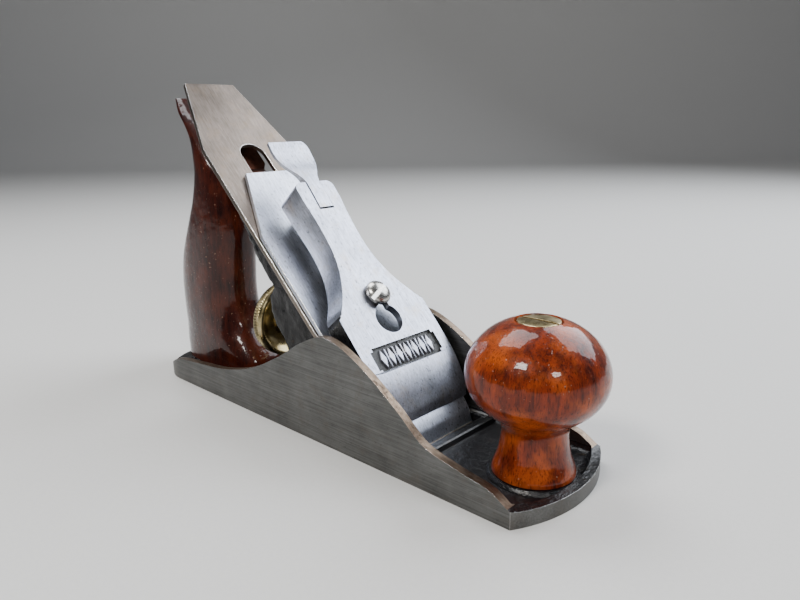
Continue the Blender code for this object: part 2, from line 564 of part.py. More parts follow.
def make_lever_cap(bed):
    half = CAP_SIDE[0][1] + 1
    pocket = combine(prism(pocket_plan(), 3, 40, "SY"),
                     [("INTERSECT", prism(pocket_section(), -half, half, "SH"))], "pocket")
    pin_s, pin_h = CAM_PIN
    slot = CAM_SLOT_LOW
    cam_room = [(slot, 30.0), (slot, 20.6), (slot - 1.0, 19.2), (slot - 1.8, 17.3), (slot - 2.1, 15.0),
                (slot - 2.1, 0.0), (CAP_END + 2, 0.0), (CAP_END + 2, 30.0)]
    floor = [(s, smooth_value(CAP_TOP, s) - LABEL[3]) for s in (LABEL[0], LABEL[1])]
    panel = prism(floor + [(LABEL[1], 30), (LABEL[0], 30)], -LABEL[2], LABEL[2], "SH")
    work = [("INTERSECT", lever_cap_block()), ("DIFFERENCE", pocket),
            ("UNION", bed_rod(4.0, 76.0, 9.0, 17.0, 20)),
            ("DIFFERENCE", prism(slot_outline(KEY_HOLE_S, LEVER_SCREW_S + 0.2, KEY_SLOT_HALF), 0, 40, "SY")),
            ("DIFFERENCE", bed_rod(KEY_HOLE_RADIUS, KEY_HOLE_S, 0, 40, 28)),
            ("DIFFERENCE", prism(cam_room, -CAM_SLOT_HALF, CAM_SLOT_HALF, "SH")),
            ("DIFFERENCE", rod(1.9, -12, 12, "Y", (-pin_s, 0, pin_h), 16)),
            ("DIFFERENCE", bed_rod(1.5, 76.0, 5, 13.5, 16)), ("DIFFERENCE", panel)]
    cap = combine(prism(lever_cap_section(), -half, half, "SH"), work, "cap")
    piece("lever_cap", cap, BRIGHT, 0.28, 1.0, parent=bed)

    piece("cam_pin", rod(1.6, -9.0, 9.0, "Y", (-pin_s, 0, pin_h), 16), STEEL, 0.35, 1.0, parent=bed,
          origin=(-pin_s, 0, pin_h))
    spring = combine(prism(slot_outline(75.5, 100.0, 4.2), 7.9, 8.7, "SY"),
                     [("DIFFERENCE", bed_rod(1.5, 76.0, 5, 12, 16))], "spring")
    piece("lever_cap_spring", spring, STEEL, 0.35, 1.0, parent=bed, origin=(-76, 0, 8.3))
    rivet = turned([(1.6, 6.7), (2.6, 7.1), (2.6, 7.6), (1.2, 7.6), (1.2, 13.2)], "Z", (-76, 0, 0), 16)
    piece("spring_rivet", rivet, STEEL, 0.4, 1.0, parent=bed, origin=(-76, 0, 8.3))


def cam_lever_side():
    """The cam lever from the side: a tongue over the pin, a cam under it, and a thumb plate behind."""
    pin_s, pin_h = CAM_PIN
    tongue = [(95.0, 19.6), (95.0, 21.1), (106.0, 22.2), (112.0, 22.0), (118.0, 21.3), (123.0, 21.4), (127.4, 22.6)]
    under = [(127.4, 21.3), (123.0, 20.1), (118.0, 20.0), (112.0, 20.4), (107.5, 19.2)]
    cam = arc((pin_s, pin_h), 5.2, 20, -60, 6) + [(pin_s, pin_h - 5.9)] + arc((pin_s, pin_h), 5.2, -120, -200, 6)
    return tongue + under + cam


def cam_lever_plan():
    """The tongue widens into the thumb plate, whose corner is square on the right and well rounded on the left."""
    edge = [(90.0, 3.2), (107.0, 3.2), (110.0, 4.2), (112.5, 5.8), (116.0, 7.7), (120.0, 8.9)]
    rounded = [(123.6, 9.2), (125.6, 8.6), (127.2, 7.2), (128.0, 5.2)]
    square = [(124.0, 9.3), (127.4, 9.6), (128.2, 9.0)]
    return edge + rounded + [(s, -y) for s, y in (edge + square)[::-1]]


def make_cam_lever(bed):
    pin_s, pin_h = CAM_PIN
    lever = combine(prism(cam_lever_side(), -12, 12, "SH"),
                    [("INTERSECT", prism(cam_lever_plan(), 0, 40, "SY")),
                     ("DIFFERENCE", rod(1.9, -14, 14, "Y", (-pin_s, 0, pin_h), 16))], "cam")
    piece("cam_lever", lever, BRIGHT, 0.28, 1.0, parent=bed, origin=(-pin_s, 0, pin_h))


def make_lever_cap_screw(bed):
    low = smooth_value(CAP_TOP, LEVER_SCREW_S + 5) + GAP
    dome = [(5.0 * math.cos(a), low + 1.0 + 2.9 * math.sin(a)) for a in steps(0, math.radians(80), 6)]
    screw = turned([(STUD_RADIUS, -14.0), (STUD_RADIUS, low), (5.0, low)] + dome, "Z", (-LEVER_SCREW_S, 0, 0), 24)
    slot = prism(box_outline(LEVER_SCREW_S - 0.7, LEVER_SCREW_S + 0.7, -7, 7), low + 2.1, low + 6, "SY")
    piece("lever_cap_screw", combine(screw, [("DIFFERENCE", slot)], "screw"), STEEL, 0.3, 1.0, parent=bed,
          origin=(-LEVER_SCREW_S, 0, 0))


def make_lateral_lever(bed):
    """The lateral lever on its rivet, the disc that works in the iron's slot, and the thumb tab."""
    pivot = (-LATERAL_PIVOT_S, 0, 0)
    bar = [(DISC_S, -2.6), (133.0, -2.6), (136.6, -5.2), (163.0, -5.2), (163.0, -3.6), (137.2, -3.6),
           (133.6, -1.0), (DISC_S, -1.0)]
    widening = [(DISC_S - 1, 4.0), (134.0, 4.0), (140.0, 8.4), (164.0, 8.4)]
    lever = combine(prism(bar, -12.0, 12.0, "SH"),
                    [("INTERSECT", prism(widening + [(s, -y) for s, y in widening[::-1]], -20, 5, "SY")),
                     ("UNION", bed_rod(4.9, DISC_S, -2.6, -1.0, 24)),
                     ("DIFFERENCE", bed_rod(2.2, LATERAL_PIVOT_S, -5, 2, 16)),
                     ("DIFFERENCE", bed_rod(1.7, DISC_S, -5, 2, 16)),
                     ("DIFFERENCE", bed_rod(1.5, 158.0, -8, -2, 16))], "lateral")
    piece("lateral_lever", lever, STEEL, 0.45, 1.0, parent=bed, origin=pivot)
    rivet = turned([(1.9, -8.8), (1.9, -0.7), (2.7, -0.7), (2.5, -0.1)], "Z", pivot, 16)
    piece("lateral_rivet", rivet, STEEL, 0.4, 1.0, parent=bed, origin=pivot)
    disc = turned([(1.4, -2.4), (1.4, -0.7), (5.4, -0.7), (5.4, 1.9)], "Z", (-DISC_S, 0, 0), 24)
    piece("lateral_disc", disc, STEEL, 0.35, 1.0, parent=bed, origin=(-DISC_S, 0, 0))
    tab = [(143.0, -6.7), (166.0, -6.7), (168.2, -2.2), (166.9, -1.6), (165.0, -5.5), (143.0, -5.5)]
    outline = [(142.0, 7.0), (147.0, 10.0), (169.0, 11.0), (169.0, -11.0), (147.0, -10.0), (142.0, -7.0)]
    plate = combine(prism(tab, -12, 12, "SH"),
                    [("INTERSECT", prism(outline, -20, 5, "SY")),
                     ("UNION", bed_rod(1.2, 158.0, -6, -3.2, 16))], "tab")
    piece("lateral_thumb_tab", plate, BRASS, 0.5, 0.8, parent=bed, origin=(-158, 0, -6))


def knob_profile():
    """From the nut's recess down the outside to the foot."""
    top_angle = math.acos(7.6 / KNOB_RADIUS)
    crown = [(KNOB_RADIUS * math.cos(a), KNOB_MIDDLE + KNOB_TOP_RISE * math.sin(a))
             for a in steps(top_angle, 0.0, 9)]
    belly = [(KNOB_RADIUS * math.cos(a), KNOB_MIDDLE - KNOB_LOW_DROP * math.sin(a))
             for a in steps(0.14, math.acos(13.6 / KNOB_RADIUS), 7)]
    neck_r, neck_z = KNOB_NECK
    foot_z = KNOB_BOSS[1] + GAP
    neck = [(11.2, 22.0), (neck_r, neck_z), (11.0, 14.4), (12.0, 10.4), (13.1, 7.4), (KNOB_FOOT, foot_z)]
    return crown + belly + neck


def make_knob():
    centre = (KNOB_X, 0, 0)
    top_z = knob_profile()[0][1]
    solid = turned(knob_profile(), "Z", centre, 40)
    knob = combine(solid, [("DIFFERENCE", rod(4.5, 0, 60, "Z", centre, 20)),
                           ("DIFFERENCE", rod(NUT_RADIUS + GAP, top_z - 3.2, 60, "Z", centre, 28))], "knob")
    piece("front_knob", knob, ROSEWOOD, 0.15, 0.0, origin=centre, smooth=35.0)
    piece("knob_rod", rod(STUD_RADIUS, 1.8, 46.0, "Z", centre, 20), STEEL, 0.4, 1.0, origin=centre)
    head_low = top_z - 2.9
    nut = turned([(4.1, 37.0), (4.1, head_low), (NUT_RADIUS, head_low), (NUT_RADIUS, top_z - 0.3),
                  (NUT_RADIUS - 0.5, top_z)], "Z", centre, 28)
    slot = prism(box_outline(KNOB_X - 8, KNOB_X + 8, -0.6, 0.6), top_z - 1.1, 60)
    nut = combine(nut, [("DIFFERENCE", rod(STUD_RADIUS + GAP, 30, 48, "Z", centre, 20)), ("DIFFERENCE", slot)], "nut")
    piece("knob_nut", nut, BRASS, 0.35, 1.0, origin=centre)


def tote_rod_matrix():
    """From a rod along +Z with its foot at the origin to the tote's leaning rod."""
    foot = Vector((TOTE_ROD_FOOT[0], 0, TOTE_ROD_FOOT[1]))
    along = Vector((TOTE_ROD_TOP[0], 0, TOTE_ROD_TOP[1])) - foot
    return Matrix.Translation(foot) @ Vector((0, 0, 1)).rotation_difference(along).to_matrix().to_4x4()


def tote_ring(z, count=24):
    back = smooth_value(TOTE_BACK, z)
    front = smooth_value(TOTE_FRONT, z)
    half = smooth_value(TOTE_HALF, z)
    square = smooth_value(TOTE_SQUARE, z)
    ring = []
    for i in range(count):
        a = 2 * math.pi * i / count
        x = (front + back) / 2 + (front - back) / 2 * math.copysign(abs(math.cos(a)) ** square, math.cos(a))
        y = half * math.copysign(abs(math.sin(a)) ** square, math.sin(a))
        ring.append((x, y, z))
    return ring


def make_tote():
    low = FLOOR + GAP
    levels = [low, 7.5, 11.0, 14.0, 18.0, 24.0, 31.0, 38.0, 46.0, 54.0, 62.0, 70.0, 78.0, 84.0, 90.0, 95.0, 99.0,
              103.0, 107.0, 111.0, 115.0, 119.0, 122.5, 125.0]
    matrix = tote_rod_matrix()
    reach = (Vector(TOTE_ROD_TOP) - Vector(TOTE_ROD_FOOT)).length
    seat = reach - 4.0
    tote = combine(skin([tote_ring(z) for z in levels]),
                   [("DIFFERENCE", turned_about(rod(4.5, -3, reach + 20, segments=20), matrix)),
                    ("DIFFERENCE", turned_about(rod(6.8, seat, reach + 30, segments=24), matrix))], "tote")
    foot = (TOTE_ROD_FOOT[0], 0, TOTE_ROD_FOOT[1])
    piece("tote", tote, DARK_WOOD, 0.2, 0.0, origin=foot, smooth=35.0)
    steel_rod = turned_about(rod(STUD_RADIUS, -1.8, reach - 10, segments=20), matrix)
    piece("tote_rod", steel_rod, STEEL, 0.4, 1.0, origin=foot)
    head_low = seat + GAP
    nut = turned([(4.1, reach - 19), (4.1, head_low), (6.5, head_low), (6.5, head_low + 2.2), (6.0, head_low + 2.6)],
                 segments=24)
    slot = prism(box_outline(-8, 8, -0.6, 0.6), head_low + 1.6, head_low + 6)
    nut = combine(nut, [("DIFFERENCE", rod(STUD_RADIUS + GAP, 0, reach - 8, segments=20)), ("DIFFERENCE", slot)],
                  "nut")
    piece("tote_nut", turned_about(nut, matrix), BRASS, 0.35, 1.0, origin=foot)


def main():
    clear_scene()
    bed = empty("bed_frame", (MOUTH_X, 0, 0), turn_y=BED_ANGLE)
    bed_matrix = Matrix.Translation((MOUTH_X, 0, 0)) @ Matrix.Rotation(BED_ANGLE, 4, "Y")
    make_body()
    make_frog(bed_matrix)
    make_frog_fasteners()
    make_depth_adjuster()
    make_iron(bed)
    make_cap_iron(bed)
    make_lever_cap(bed)
    make_cam_lever(bed)
    make_lever_cap_screw(bed)
    make_lateral_lever(bed)
    make_knob()
    make_tote()


main()
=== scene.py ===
"""Looks for the bench plane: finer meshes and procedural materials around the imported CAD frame."""
import math

import bmesh
import bpy
from mathutils import Matrix, Vector, noise


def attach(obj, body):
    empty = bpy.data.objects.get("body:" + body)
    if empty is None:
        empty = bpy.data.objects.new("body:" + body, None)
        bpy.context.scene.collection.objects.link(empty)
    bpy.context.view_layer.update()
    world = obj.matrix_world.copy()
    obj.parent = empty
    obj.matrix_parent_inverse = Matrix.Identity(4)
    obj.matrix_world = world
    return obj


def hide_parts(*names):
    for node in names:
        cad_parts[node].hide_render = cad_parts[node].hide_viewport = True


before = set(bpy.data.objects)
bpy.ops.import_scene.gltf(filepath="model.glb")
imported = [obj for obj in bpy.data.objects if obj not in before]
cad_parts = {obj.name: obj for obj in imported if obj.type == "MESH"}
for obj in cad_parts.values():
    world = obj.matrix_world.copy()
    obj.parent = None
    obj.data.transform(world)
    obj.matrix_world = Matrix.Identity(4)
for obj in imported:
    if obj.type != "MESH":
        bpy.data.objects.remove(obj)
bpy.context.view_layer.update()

MM = 0.001
BODY, FROG = "body", "frog"
WELD = 0.004      # millimetres within which two vertices become one

# the bed frame: -X runs up the bed (distances s), Y across, +Z is the bed's normal (heights h)
MOUTH_X = 45.0
BED = Matrix.Translation((MOUTH_X * MM, 0, 0)) @ Matrix.Rotation(math.radians(45), 4, "Y")
ROW = Matrix.Identity(4)

# the casting, in the row frame: plan, wall and floor thickness, and the (x, z) line of the wall tops
TOE_X, HEEL_X, HALF_WIDTH = 105.0, -108.0, 27.0
TOE_BULGE, HEEL_BULGE = 8.0, 24.0
TOE_RADIUS = (HALF_WIDTH**2 + TOE_BULGE**2) / (2 * TOE_BULGE)
WALL, FLOOR, FILLET = 3.0, 3.8, 2.4
WALL_TOP = ((-109, 3.4), (-98, 3.5), (-91, 6.6), (-84, 9.6), (-66, 11.7), (-46, 13.9), (-26, 19.3),
            (-8, 28.0), (8, 37.5), (20, 41.2), (36, 35.5), (53, 24.2), (64, 15.6), (78, 11.9),
            (90, 9.6), (97, 5.8), (106, 5.2))
# the lever cap, in the bed frame: (s, h) of its top and underside, (s, half width) and the sides' slope
CAP_TOP = ((9.0, 7.9), (12.0, 10.2), (17.0, 12.7), (23.0, 14.5), (30.0, 15.5), (49.0, 16.7),
           (78.0, 19.3), (107.0, 22.0))
CAP_SIDE = ((49.0, 21.6), (56.6, 15.7), (65.7, 11.1), (74.0, 8.9), (82.0, 8.3), (91.0, 8.6),
            (99.0, 9.3))
CAP_FLARE = ((49.0, 0.0), (52.0, 0.25), (60.0, 0.2), (74.0, 0.15), (99.0, 0.1))
CAP_UNDER = ((9.0, 6.9), (20.0, 7.4), (49.0, 8.6), (107.0, 10.2))
CAP_START, CAP_END, CAP_LOBE, CAP_HALF = 9.0, 107.0, 3.0, 21.6
PANEL = (26.3, 36.0, 16.8, 0.9)      # the recessed panel: from s, to s, half width, depth
KEYHOLE_S, SPRING_S = 45.0, 76.0
CAM_PIN, PIN_BORE = (101.0, 15.0), 1.9
CAP_SCREW_S = 55.0
CHIP_HALF, CHIP_END = 21.4, 128.6      # the cap iron
IRON_HALF, IRON_END = 22.0, 182.2
KNOB_X, KNOB_BORE = 87.7, 4.5
# the tote: (z, x) of its back and front edges and (z, half thickness)
TOTE_BACK = ((4, -106.6), (15, -108.0), (30, -109.0), (42, -109.0), (52, -107.6), (60, -104.6),
             (70, -99.6), (80, -94.6), (90, -91.3), (98, -90.4), (106, -91.6), (113, -95.5),
             (119, -101.4), (125.2, -105.8))
TOTE_FRONT = ((4, -50.0), (10, -51.0), (16, -55.5), (24, -62.0), (36, -65.6), (52, -64.8),
              (66, -63.4), (78, -64.6), (88, -67.0), (94, -69.0), (100, -74.5), (110, -85.5),
              (119, -96.0), (125.2, -103.2))
TOTE_HALF = ((4, 13.2), (9, 13.0), (20, 12.9), (40, 12.8), (62, 12.0), (80, 11.0), (88, 10.6),
             (98, 10.0), (108, 8.4), (118, 7.0), (125.2, 4.4))
TOTE_SQUARE = ((4, 0.58), (12, 0.62), (22, 0.76), (60, 0.8), (125.2, 0.86))      # 1 is an ellipse


# ---------------------------------------------------------------- geometry

def curve(knots, x):
    """A cubic curve through (x, value) knots, with tangents from the neighbouring knots."""
    if x <= knots[0][0]:
        return knots[0][1]
    if x >= knots[-1][0]:
        return knots[-1][1]
    i = next(k for k in range(len(knots) - 1) if x <= knots[k + 1][0])

    def slope(j):
        a, b = knots[max(j - 1, 0)], knots[min(j + 1, len(knots) - 1)]
        return (b[1] - a[1]) / (b[0] - a[0])

    (x0, v0), (x1, v1) = knots[i], knots[i + 1]
    span = x1 - x0
    t = (x - x0) / span
    return ((2 * t**3 - 3 * t**2 + 1) * v0 + (t**3 - 2 * t**2 + t) * span * slope(i)
            + (3 * t**2 - 2 * t**3) * v1 + (t**3 - t**2) * span * slope(i + 1))


def steps(low, high, count):
    """Evenly spaced values, both ends included."""
    return [low + (high - low) * i / count for i in range(count + 1)]


def arc(centre, radius, start, end, count):
    """Points round a circle, between two angles in degrees."""
    x, y = centre
    return [(x + radius * math.cos(math.radians(a)), y + radius * math.sin(math.radians(a)))
            for a in steps(start, end, count)]


def box_outline(x0, x1, y0, y1):
    return [(x0, y0), (x1, y0), (x1, y1), (x0, y1)]


def slot_outline(x0, x1, half, count=16):
    """A slot with round ends, between the centres x0 and x1."""
    return arc((x1, 0), half, -90, 90, count) + arc((x0, 0), half, 90, 270, count)


def skin(rings, closed_ends=True):
    """A mesh through rings of equally many points; without ends, the last ring joins the first."""
    bm = bmesh.new()
    loops = [[bm.verts.new(p) for p in ring] for ring in rings]
    count = len(loops[0])
    for low, high in zip(loops, loops[1:]):
        for i in range(count):
            j = (i + 1) % count
            bm.faces.new((low[i], low[j], high[j], high[i]))
    if closed_ends:
        bm.faces.new(loops[0])
        bm.faces.new(loops[-1])
    else:
        for i in range(count):
            j = (i + 1) % count
            bm.faces.new((loops[-1][i], loops[-1][j], loops[0][j], loops[0][i]))
    bmesh.ops.recalc_face_normals(bm, faces=bm.faces)
    return bm


# where an outline's (a, b) lie, with c as the height of the prism; S runs up the bed and H off it
PLANES = {"XY": lambda a, b, c: (a, b, c), "XZ": lambda a, b, c: (a, c, b),
          "SY": lambda a, b, c: (-a, b, c), "SH": lambda a, b, c: (-a, c, b)}


def prism(outline, low, high, plane="XY"):
    place = PLANES[plane]
    return skin([[place(a, b, c) for a, b in outline] for c in (low, high)])


def turned(profile, axis="Z", centre=(0, 0, 0), segments=64, closed_ends=True):
    """A turned solid on (radius, height) pairs; without ends the profile closes on itself as a ring."""
    turn = {"Z": Matrix.Identity(3), "X": Matrix.Rotation(math.pi / 2, 3, "Y"),
            "Y": Matrix.Rotation(-math.pi / 2, 3, "X")}[axis]
    rings = []
    angles = [2 * math.pi * (i + 0.5) / segments for i in range(segments)]
    for radius, height in profile:
        rings.append([turn @ Vector((radius * math.cos(a), radius * math.sin(a), height)) + Vector(centre)
                      for a in angles])
    return skin(rings, closed_ends)


def bed_rod(radius, s, low, high, segments=40):
    """A round rod standing on the bed at distance s."""
    return turned([(radius, low), (radius, high)], "Z", (-s, 0, 0), segments)


def as_object(bm, name):
    mesh = bpy.data.meshes.new(name)
    bm.to_mesh(mesh)
    bm.free()
    made = bpy.data.objects.new(name, mesh)
    bpy.context.collection.objects.link(made)
    return made


def combine(bm, work, name="work"):
    """Fuse or cut a solid with (operation, bmesh) pairs, in order."""
    made = as_object(bm, name)
    for operation, tool_bm in work:
        tool = as_object(tool_bm, name + "_tool")
        modifier = made.modifiers.new("combine", "BOOLEAN")
        modifier.operation = operation
        modifier.solver = "EXACT"
        modifier.object = tool
        bpy.context.view_layer.update()
        graph = bpy.context.evaluated_depsgraph_get()
        mesh = bpy.data.meshes.new_from_object(made.evaluated_get(graph))
        made.modifiers.remove(modifier)
        made.data = mesh
        bpy.data.objects.remove(tool, do_unlink=True)
    result = bmesh.new()
    result.from_mesh(made.data)
    bpy.data.objects.remove(made, do_unlink=True)
    return result


def dress(made, body, nodes, slot, materials, place=ROW, bevel=0.25, edge=None, angle=30.0,
          choose=None):
    """Give a piece its materials, softened edges and smooth shading, and hang it on its body."""
    for m in materials:
        made.data.materials.append(m)
    if choose:
        for face in made.data.polygons:
            face.material_index = choose(face.center * 1000, face.normal)
    made.data.shade_smooth()
    made.data.set_sharp_from_angle(angle=math.radians(angle))
    if bevel:
        modifier = made.modifiers.new("edges", "BEVEL")
        modifier.width = bevel * MM
        modifier.segments = 2
        modifier.limit_method = "ANGLE"
        modifier.angle_limit = math.radians(angle)
        modifier.harden_normals = True
        modifier.use_clamp_overlap = True
        # the bevel's own material, where given, is the bright edge steel: a painted highlight
        if edge is not None:
            made.data.materials.append(edge)
            modifier.material = len(made.data.materials) - 1
    made.matrix_world = place
    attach(made, body)
    if nodes:
        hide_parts(*nodes)
    return made


def piece(name, bm, body, nodes, slot, materials, **options):
    """A new piece from a solid in millimetres."""
    bmesh.ops.remove_doubles(bm, verts=bm.verts, dist=WELD)
    bmesh.ops.dissolve_degenerate(bm, edges=bm.edges, dist=WELD)
    bmesh.ops.scale(bm, vec=(MM, MM, MM), verts=bm.verts)
    return dress(as_object(bm, name), body, nodes, slot, materials, **options)


def from_cad(node, body, slot, materials, bed=False, **options):
    """A copy of a CAD node with its flat facets rejoined, so that its edges can be softened."""
    bm = bmesh.new()
    bm.from_mesh(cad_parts[node].data)
    if bed:
        bmesh.ops.transform(bm, matrix=BED.inverted(), verts=bm.verts)
    bmesh.ops.remove_doubles(bm, verts=bm.verts, dist=WELD * MM)
    bmesh.ops.dissolve_limit(bm, angle_limit=math.radians(0.6), verts=bm.verts, edges=bm.edges)
    made = as_object(bm, node + "_fine")
    return dress(made, body, [node], slot, materials, place=BED if bed else ROW, **options)


# ---------------------------------------------------------------- materials

class Paint:
    """A Principled material and short ways to add texture nodes. Texture space is millimetres."""

    def __init__(self, name, metallic=0.0, **settings):
        self.made = bpy.data.materials.new(name)
        self.made.use_nodes = True
        self.tree = self.made.node_tree
        self.shader = self.tree.nodes["Principled BSDF"]
        self.shader.inputs["Metallic"].default_value = metallic
        for key, value in settings.items():
            self.shader.inputs[key.replace("_", " ")].default_value = value
        where = self.node("TexCoord").outputs["Object"]
        per_metre = (1000, 1000, 1000)
        self.place = self.node("VectorMath", {0: where, 1: per_metre}, operation="MULTIPLY").outputs[0]

    def node(self, kind, ins=None, **props):
        """A new node; each input takes a value or a link from another node's output."""
        made = self.tree.nodes.new("ShaderNode" + kind)
        for key, value in props.items():
            setattr(made, key, value)
        for key, value in (ins or {}).items():
            if isinstance(value, bpy.types.NodeSocket):
                self.tree.links.new(value, made.inputs[key])
            else:
                made.inputs[key].default_value = value
        return made

    def set(self, **links):
        """Link textures to the shader's inputs and give back the finished material."""
        for key, value in links.items():
            self.tree.links.new(value, self.shader.inputs[key.replace("_", " ")])
        return self.made

    def stretch(self, scale, turn=(0, 0, 0), shift=(0, 0, 0)):
        """The texture space scaled, turned and shifted."""
        ins = {"Vector": self.place, "Scale": scale, "Rotation": turn, "Location": shift}
        return self.node("Mapping", ins).outputs[0]

    def noise(self, scale, detail=4.0, rough=0.55, where=None, distortion=0.0):
        ins = {"Vector": where or self.place, "Scale": scale, "Detail": detail, "Roughness": rough,
               "Distortion": distortion}
        return self.node("TexNoise", ins).outputs["Fac"]

    def span(self, value, low, high, to_low=0.0, to_high=1.0):
        """A value's range, low to high, mapped to another and clamped."""
        ins = {"Value": value, "From Min": low, "From Max": high, "To Min": to_low, "To Max": to_high}
        return self.node("MapRange", ins).outputs[0]

    def math(self, operation, a, b=0.0):
        return self.node("Math", {0: a, 1: b}, operation=operation).outputs[0]

    def mix(self, fac, a, b):
        made = self.node("Mix", data_type="RGBA")
        for index, value in ((0, fac), (6, a), (7, b)):
            if isinstance(value, bpy.types.NodeSocket):
                self.tree.links.new(value, made.inputs[index])
            else:
                made.inputs[index].default_value = value if index == 0 else (*value, 1.0)
        return made.outputs[2]

    def bump(self, height, depth):
        """Height of 1 stands depth millimetres proud."""
        return self.node("Bump", {"Height": height, "Distance": depth * MM, "Strength": 1.0}).outputs[0]


def steel(name, dark, light, grain=(0.02, 1.0, 1.0), roughness=(0.25, 0.42), pits=0.5, stain=None,
          lines=0.006, grain_size=2.2):
    """Worked steel: fine lines along one axis, cloudy tone, small dark pits and soft stains."""
    p = Paint(name, metallic=1.0)
    fine = p.noise(grain_size, 3.0, 0.7, p.stretch(grain))
    finer = p.noise(grain_size * 3.1, 2.0, 0.6, p.stretch(grain, shift=(31, 7, 3)))
    cloud = p.noise(0.09, 4.0, 0.6)
    speck = p.noise(0.95, 4.0, 0.75, p.stretch((0.7, 1, 1), shift=(5, 9, 2)))
    pit = p.span(speck, 0.57, 0.68)
    pit = p.math("MULTIPLY", pit, pits)
    tone = p.math("ADD", p.math("MULTIPLY", p.span(fine, 0.35, 0.65), 0.5),
                  p.math("MULTIPLY", p.span(cloud, 0.3, 0.7), 0.5))
    colour = p.mix(tone, dark, light)
    if stain:
        patch = p.span(p.noise(0.16, 5.0, 0.65, p.stretch((1, 1, 1), shift=(17, 40, 8))), 0.52, 0.72)
        colour = p.mix(p.math("MULTIPLY", patch, 0.55), colour, stain)
    colour = p.mix(pit, colour, tuple(v * 0.18 for v in dark))
    rough = p.span(p.math("ADD", p.math("MULTIPLY", finer, 0.5), p.math("MULTIPLY", cloud, 0.5)),
                   0.3, 0.7, *roughness)
    height = p.math("SUBTRACT", p.math("ADD", fine, p.math("MULTIPLY", finer, 0.5)),
                    p.math("MULTIPLY", pit, 3.0))
    return p.set(Base_Color=colour, Roughness=rough, Normal=p.bump(height, lines))


def japan(name, brown=(0.05, 0.03, 0.012), lumps=0.12, gloss=(0.10, 0.28), shine=0.4):
    """Thick glossy black paint over a rough casting, with thin brown places and dust."""
    p = Paint(name, Specular_IOR_Level=shine)
    lump = p.noise(0.35, 4.0, 0.6)
    ripple = p.noise(1.5, 3.0, 0.6)
    thin = p.span(p.noise(0.22, 5.0, 0.7, p.stretch((1, 1, 1), shift=(9, 3, 6))), 0.6, 0.75)
    dust = p.span(p.noise(5.0, 2.0, 0.5), 0.66, 0.74)
    colour = p.mix(p.math("MULTIPLY", thin, 0.6), (0.006, 0.006, 0.007), brown)
    colour = p.mix(p.math("MULTIPLY", dust, 0.35), colour, (0.16, 0.14, 0.11))
    rough = p.span(p.noise(0.6, 4.0, 0.6), 0.3, 0.7, *gloss)
    height = p.math("ADD", lump, p.math("MULTIPLY", ripple, 0.3))
    return p.set(Base_Color=colour, Roughness=rough, Normal=p.bump(height, lumps * 4))


def rosewood(name, tones, grain=(1.0, 1.0, 0.12), lean=0.0, streak=0.6):
    """Varnished rosewood: dark streaks and open pores along the grain, under a clear glossy coat."""
    p = Paint(name, Coat_Weight=1.0, Coat_Roughness=0.05, Coat_IOR=1.33, Specular_IOR_Level=0.06)
    along = p.stretch(grain, turn=(0, lean, 0))
    wavy = p.noise(0.10, 3.0, 0.5)
    bands = p.noise(0.32, 6.0, 0.62, along, distortion=0.7)
    fine = p.noise(1.9, 4.0, 0.7, along)
    x_grain, y_grain, z_grain = grain
    pores = p.noise(3.4, 2.0, 0.5, p.stretch((x_grain, y_grain, z_grain * 0.6), turn=(0, lean, 0)))
    deep, dark, red, orange = tones
    base = p.mix(p.span(bands, 0.35, 0.66), red, dark)
    base = p.mix(p.math("MULTIPLY", p.span(wavy, 0.45, 0.7), 0.75), base, orange)
    base = p.mix(p.math("MULTIPLY", p.span(fine, 0.5, 0.68), streak), base, deep)
    pore = p.span(pores, 0.63, 0.70)
    base = p.mix(p.math("MULTIPLY", pore, 0.7), base, deep)
    scar = p.span(p.noise(1.1, 2.0, 0.4, p.stretch((1, 1, 1), shift=(3, 3, 3))), 0.71, 0.75)
    base = p.mix(p.math("MULTIPLY", scar, 0.5), base, (0.35, 0.20, 0.12))
    rough = p.span(p.noise(0.5, 4.0, 0.6), 0.3, 0.7, 0.26, 0.42)
    waves = p.noise(0.25, 2.0, 0.5)
    height = p.math("SUBTRACT", p.math("MULTIPLY", waves, 1.6),
                    p.math("ADD", p.math("MULTIPLY", pore, 0.12), p.math("MULTIPLY", scar, 0.5)))
    normal = p.bump(height, 0.10)
    p.tree.links.new(normal, p.shader.inputs["Coat Normal"])
    return p.set(Base_Color=base, Roughness=rough, Normal=normal)


def brass(name):
    """Old brass: cloudy yellow with dark spots and faint turning lines."""
    p = Paint(name, metallic=1.0)
    cloud = p.noise(0.25, 5.0, 0.6)
    spots = p.span(p.noise(1.3, 4.0, 0.6), 0.5, 0.7)
    colour = p.mix(p.span(cloud, 0.35, 0.65), (0.42, 0.33, 0.15), (0.66, 0.56, 0.34))
    colour = p.mix(p.math("MULTIPLY", spots, 0.45), colour, (0.20, 0.13, 0.06))
    rough = p.span(cloud, 0.3, 0.7, 0.24, 0.40)
    turning = p.noise(2.5, 2.0, 0.6, p.stretch((1.0, 0.15, 0.15)))
    return p.set(Base_Color=colour, Roughness=rough, Normal=p.bump(turning, 0.012))


def pale_floor():
    """A plain matt floor."""
    p = Paint("pale_floor")
    grain = p.noise(0.6, 3.0, 0.6)
    colour = p.mix(grain, (0.60, 0.59, 0.57), (0.66, 0.65, 0.63))
    return p.set(Base_Color=colour, Roughness=p.span(grain, 0.3, 0.7, 0.75, 0.85))
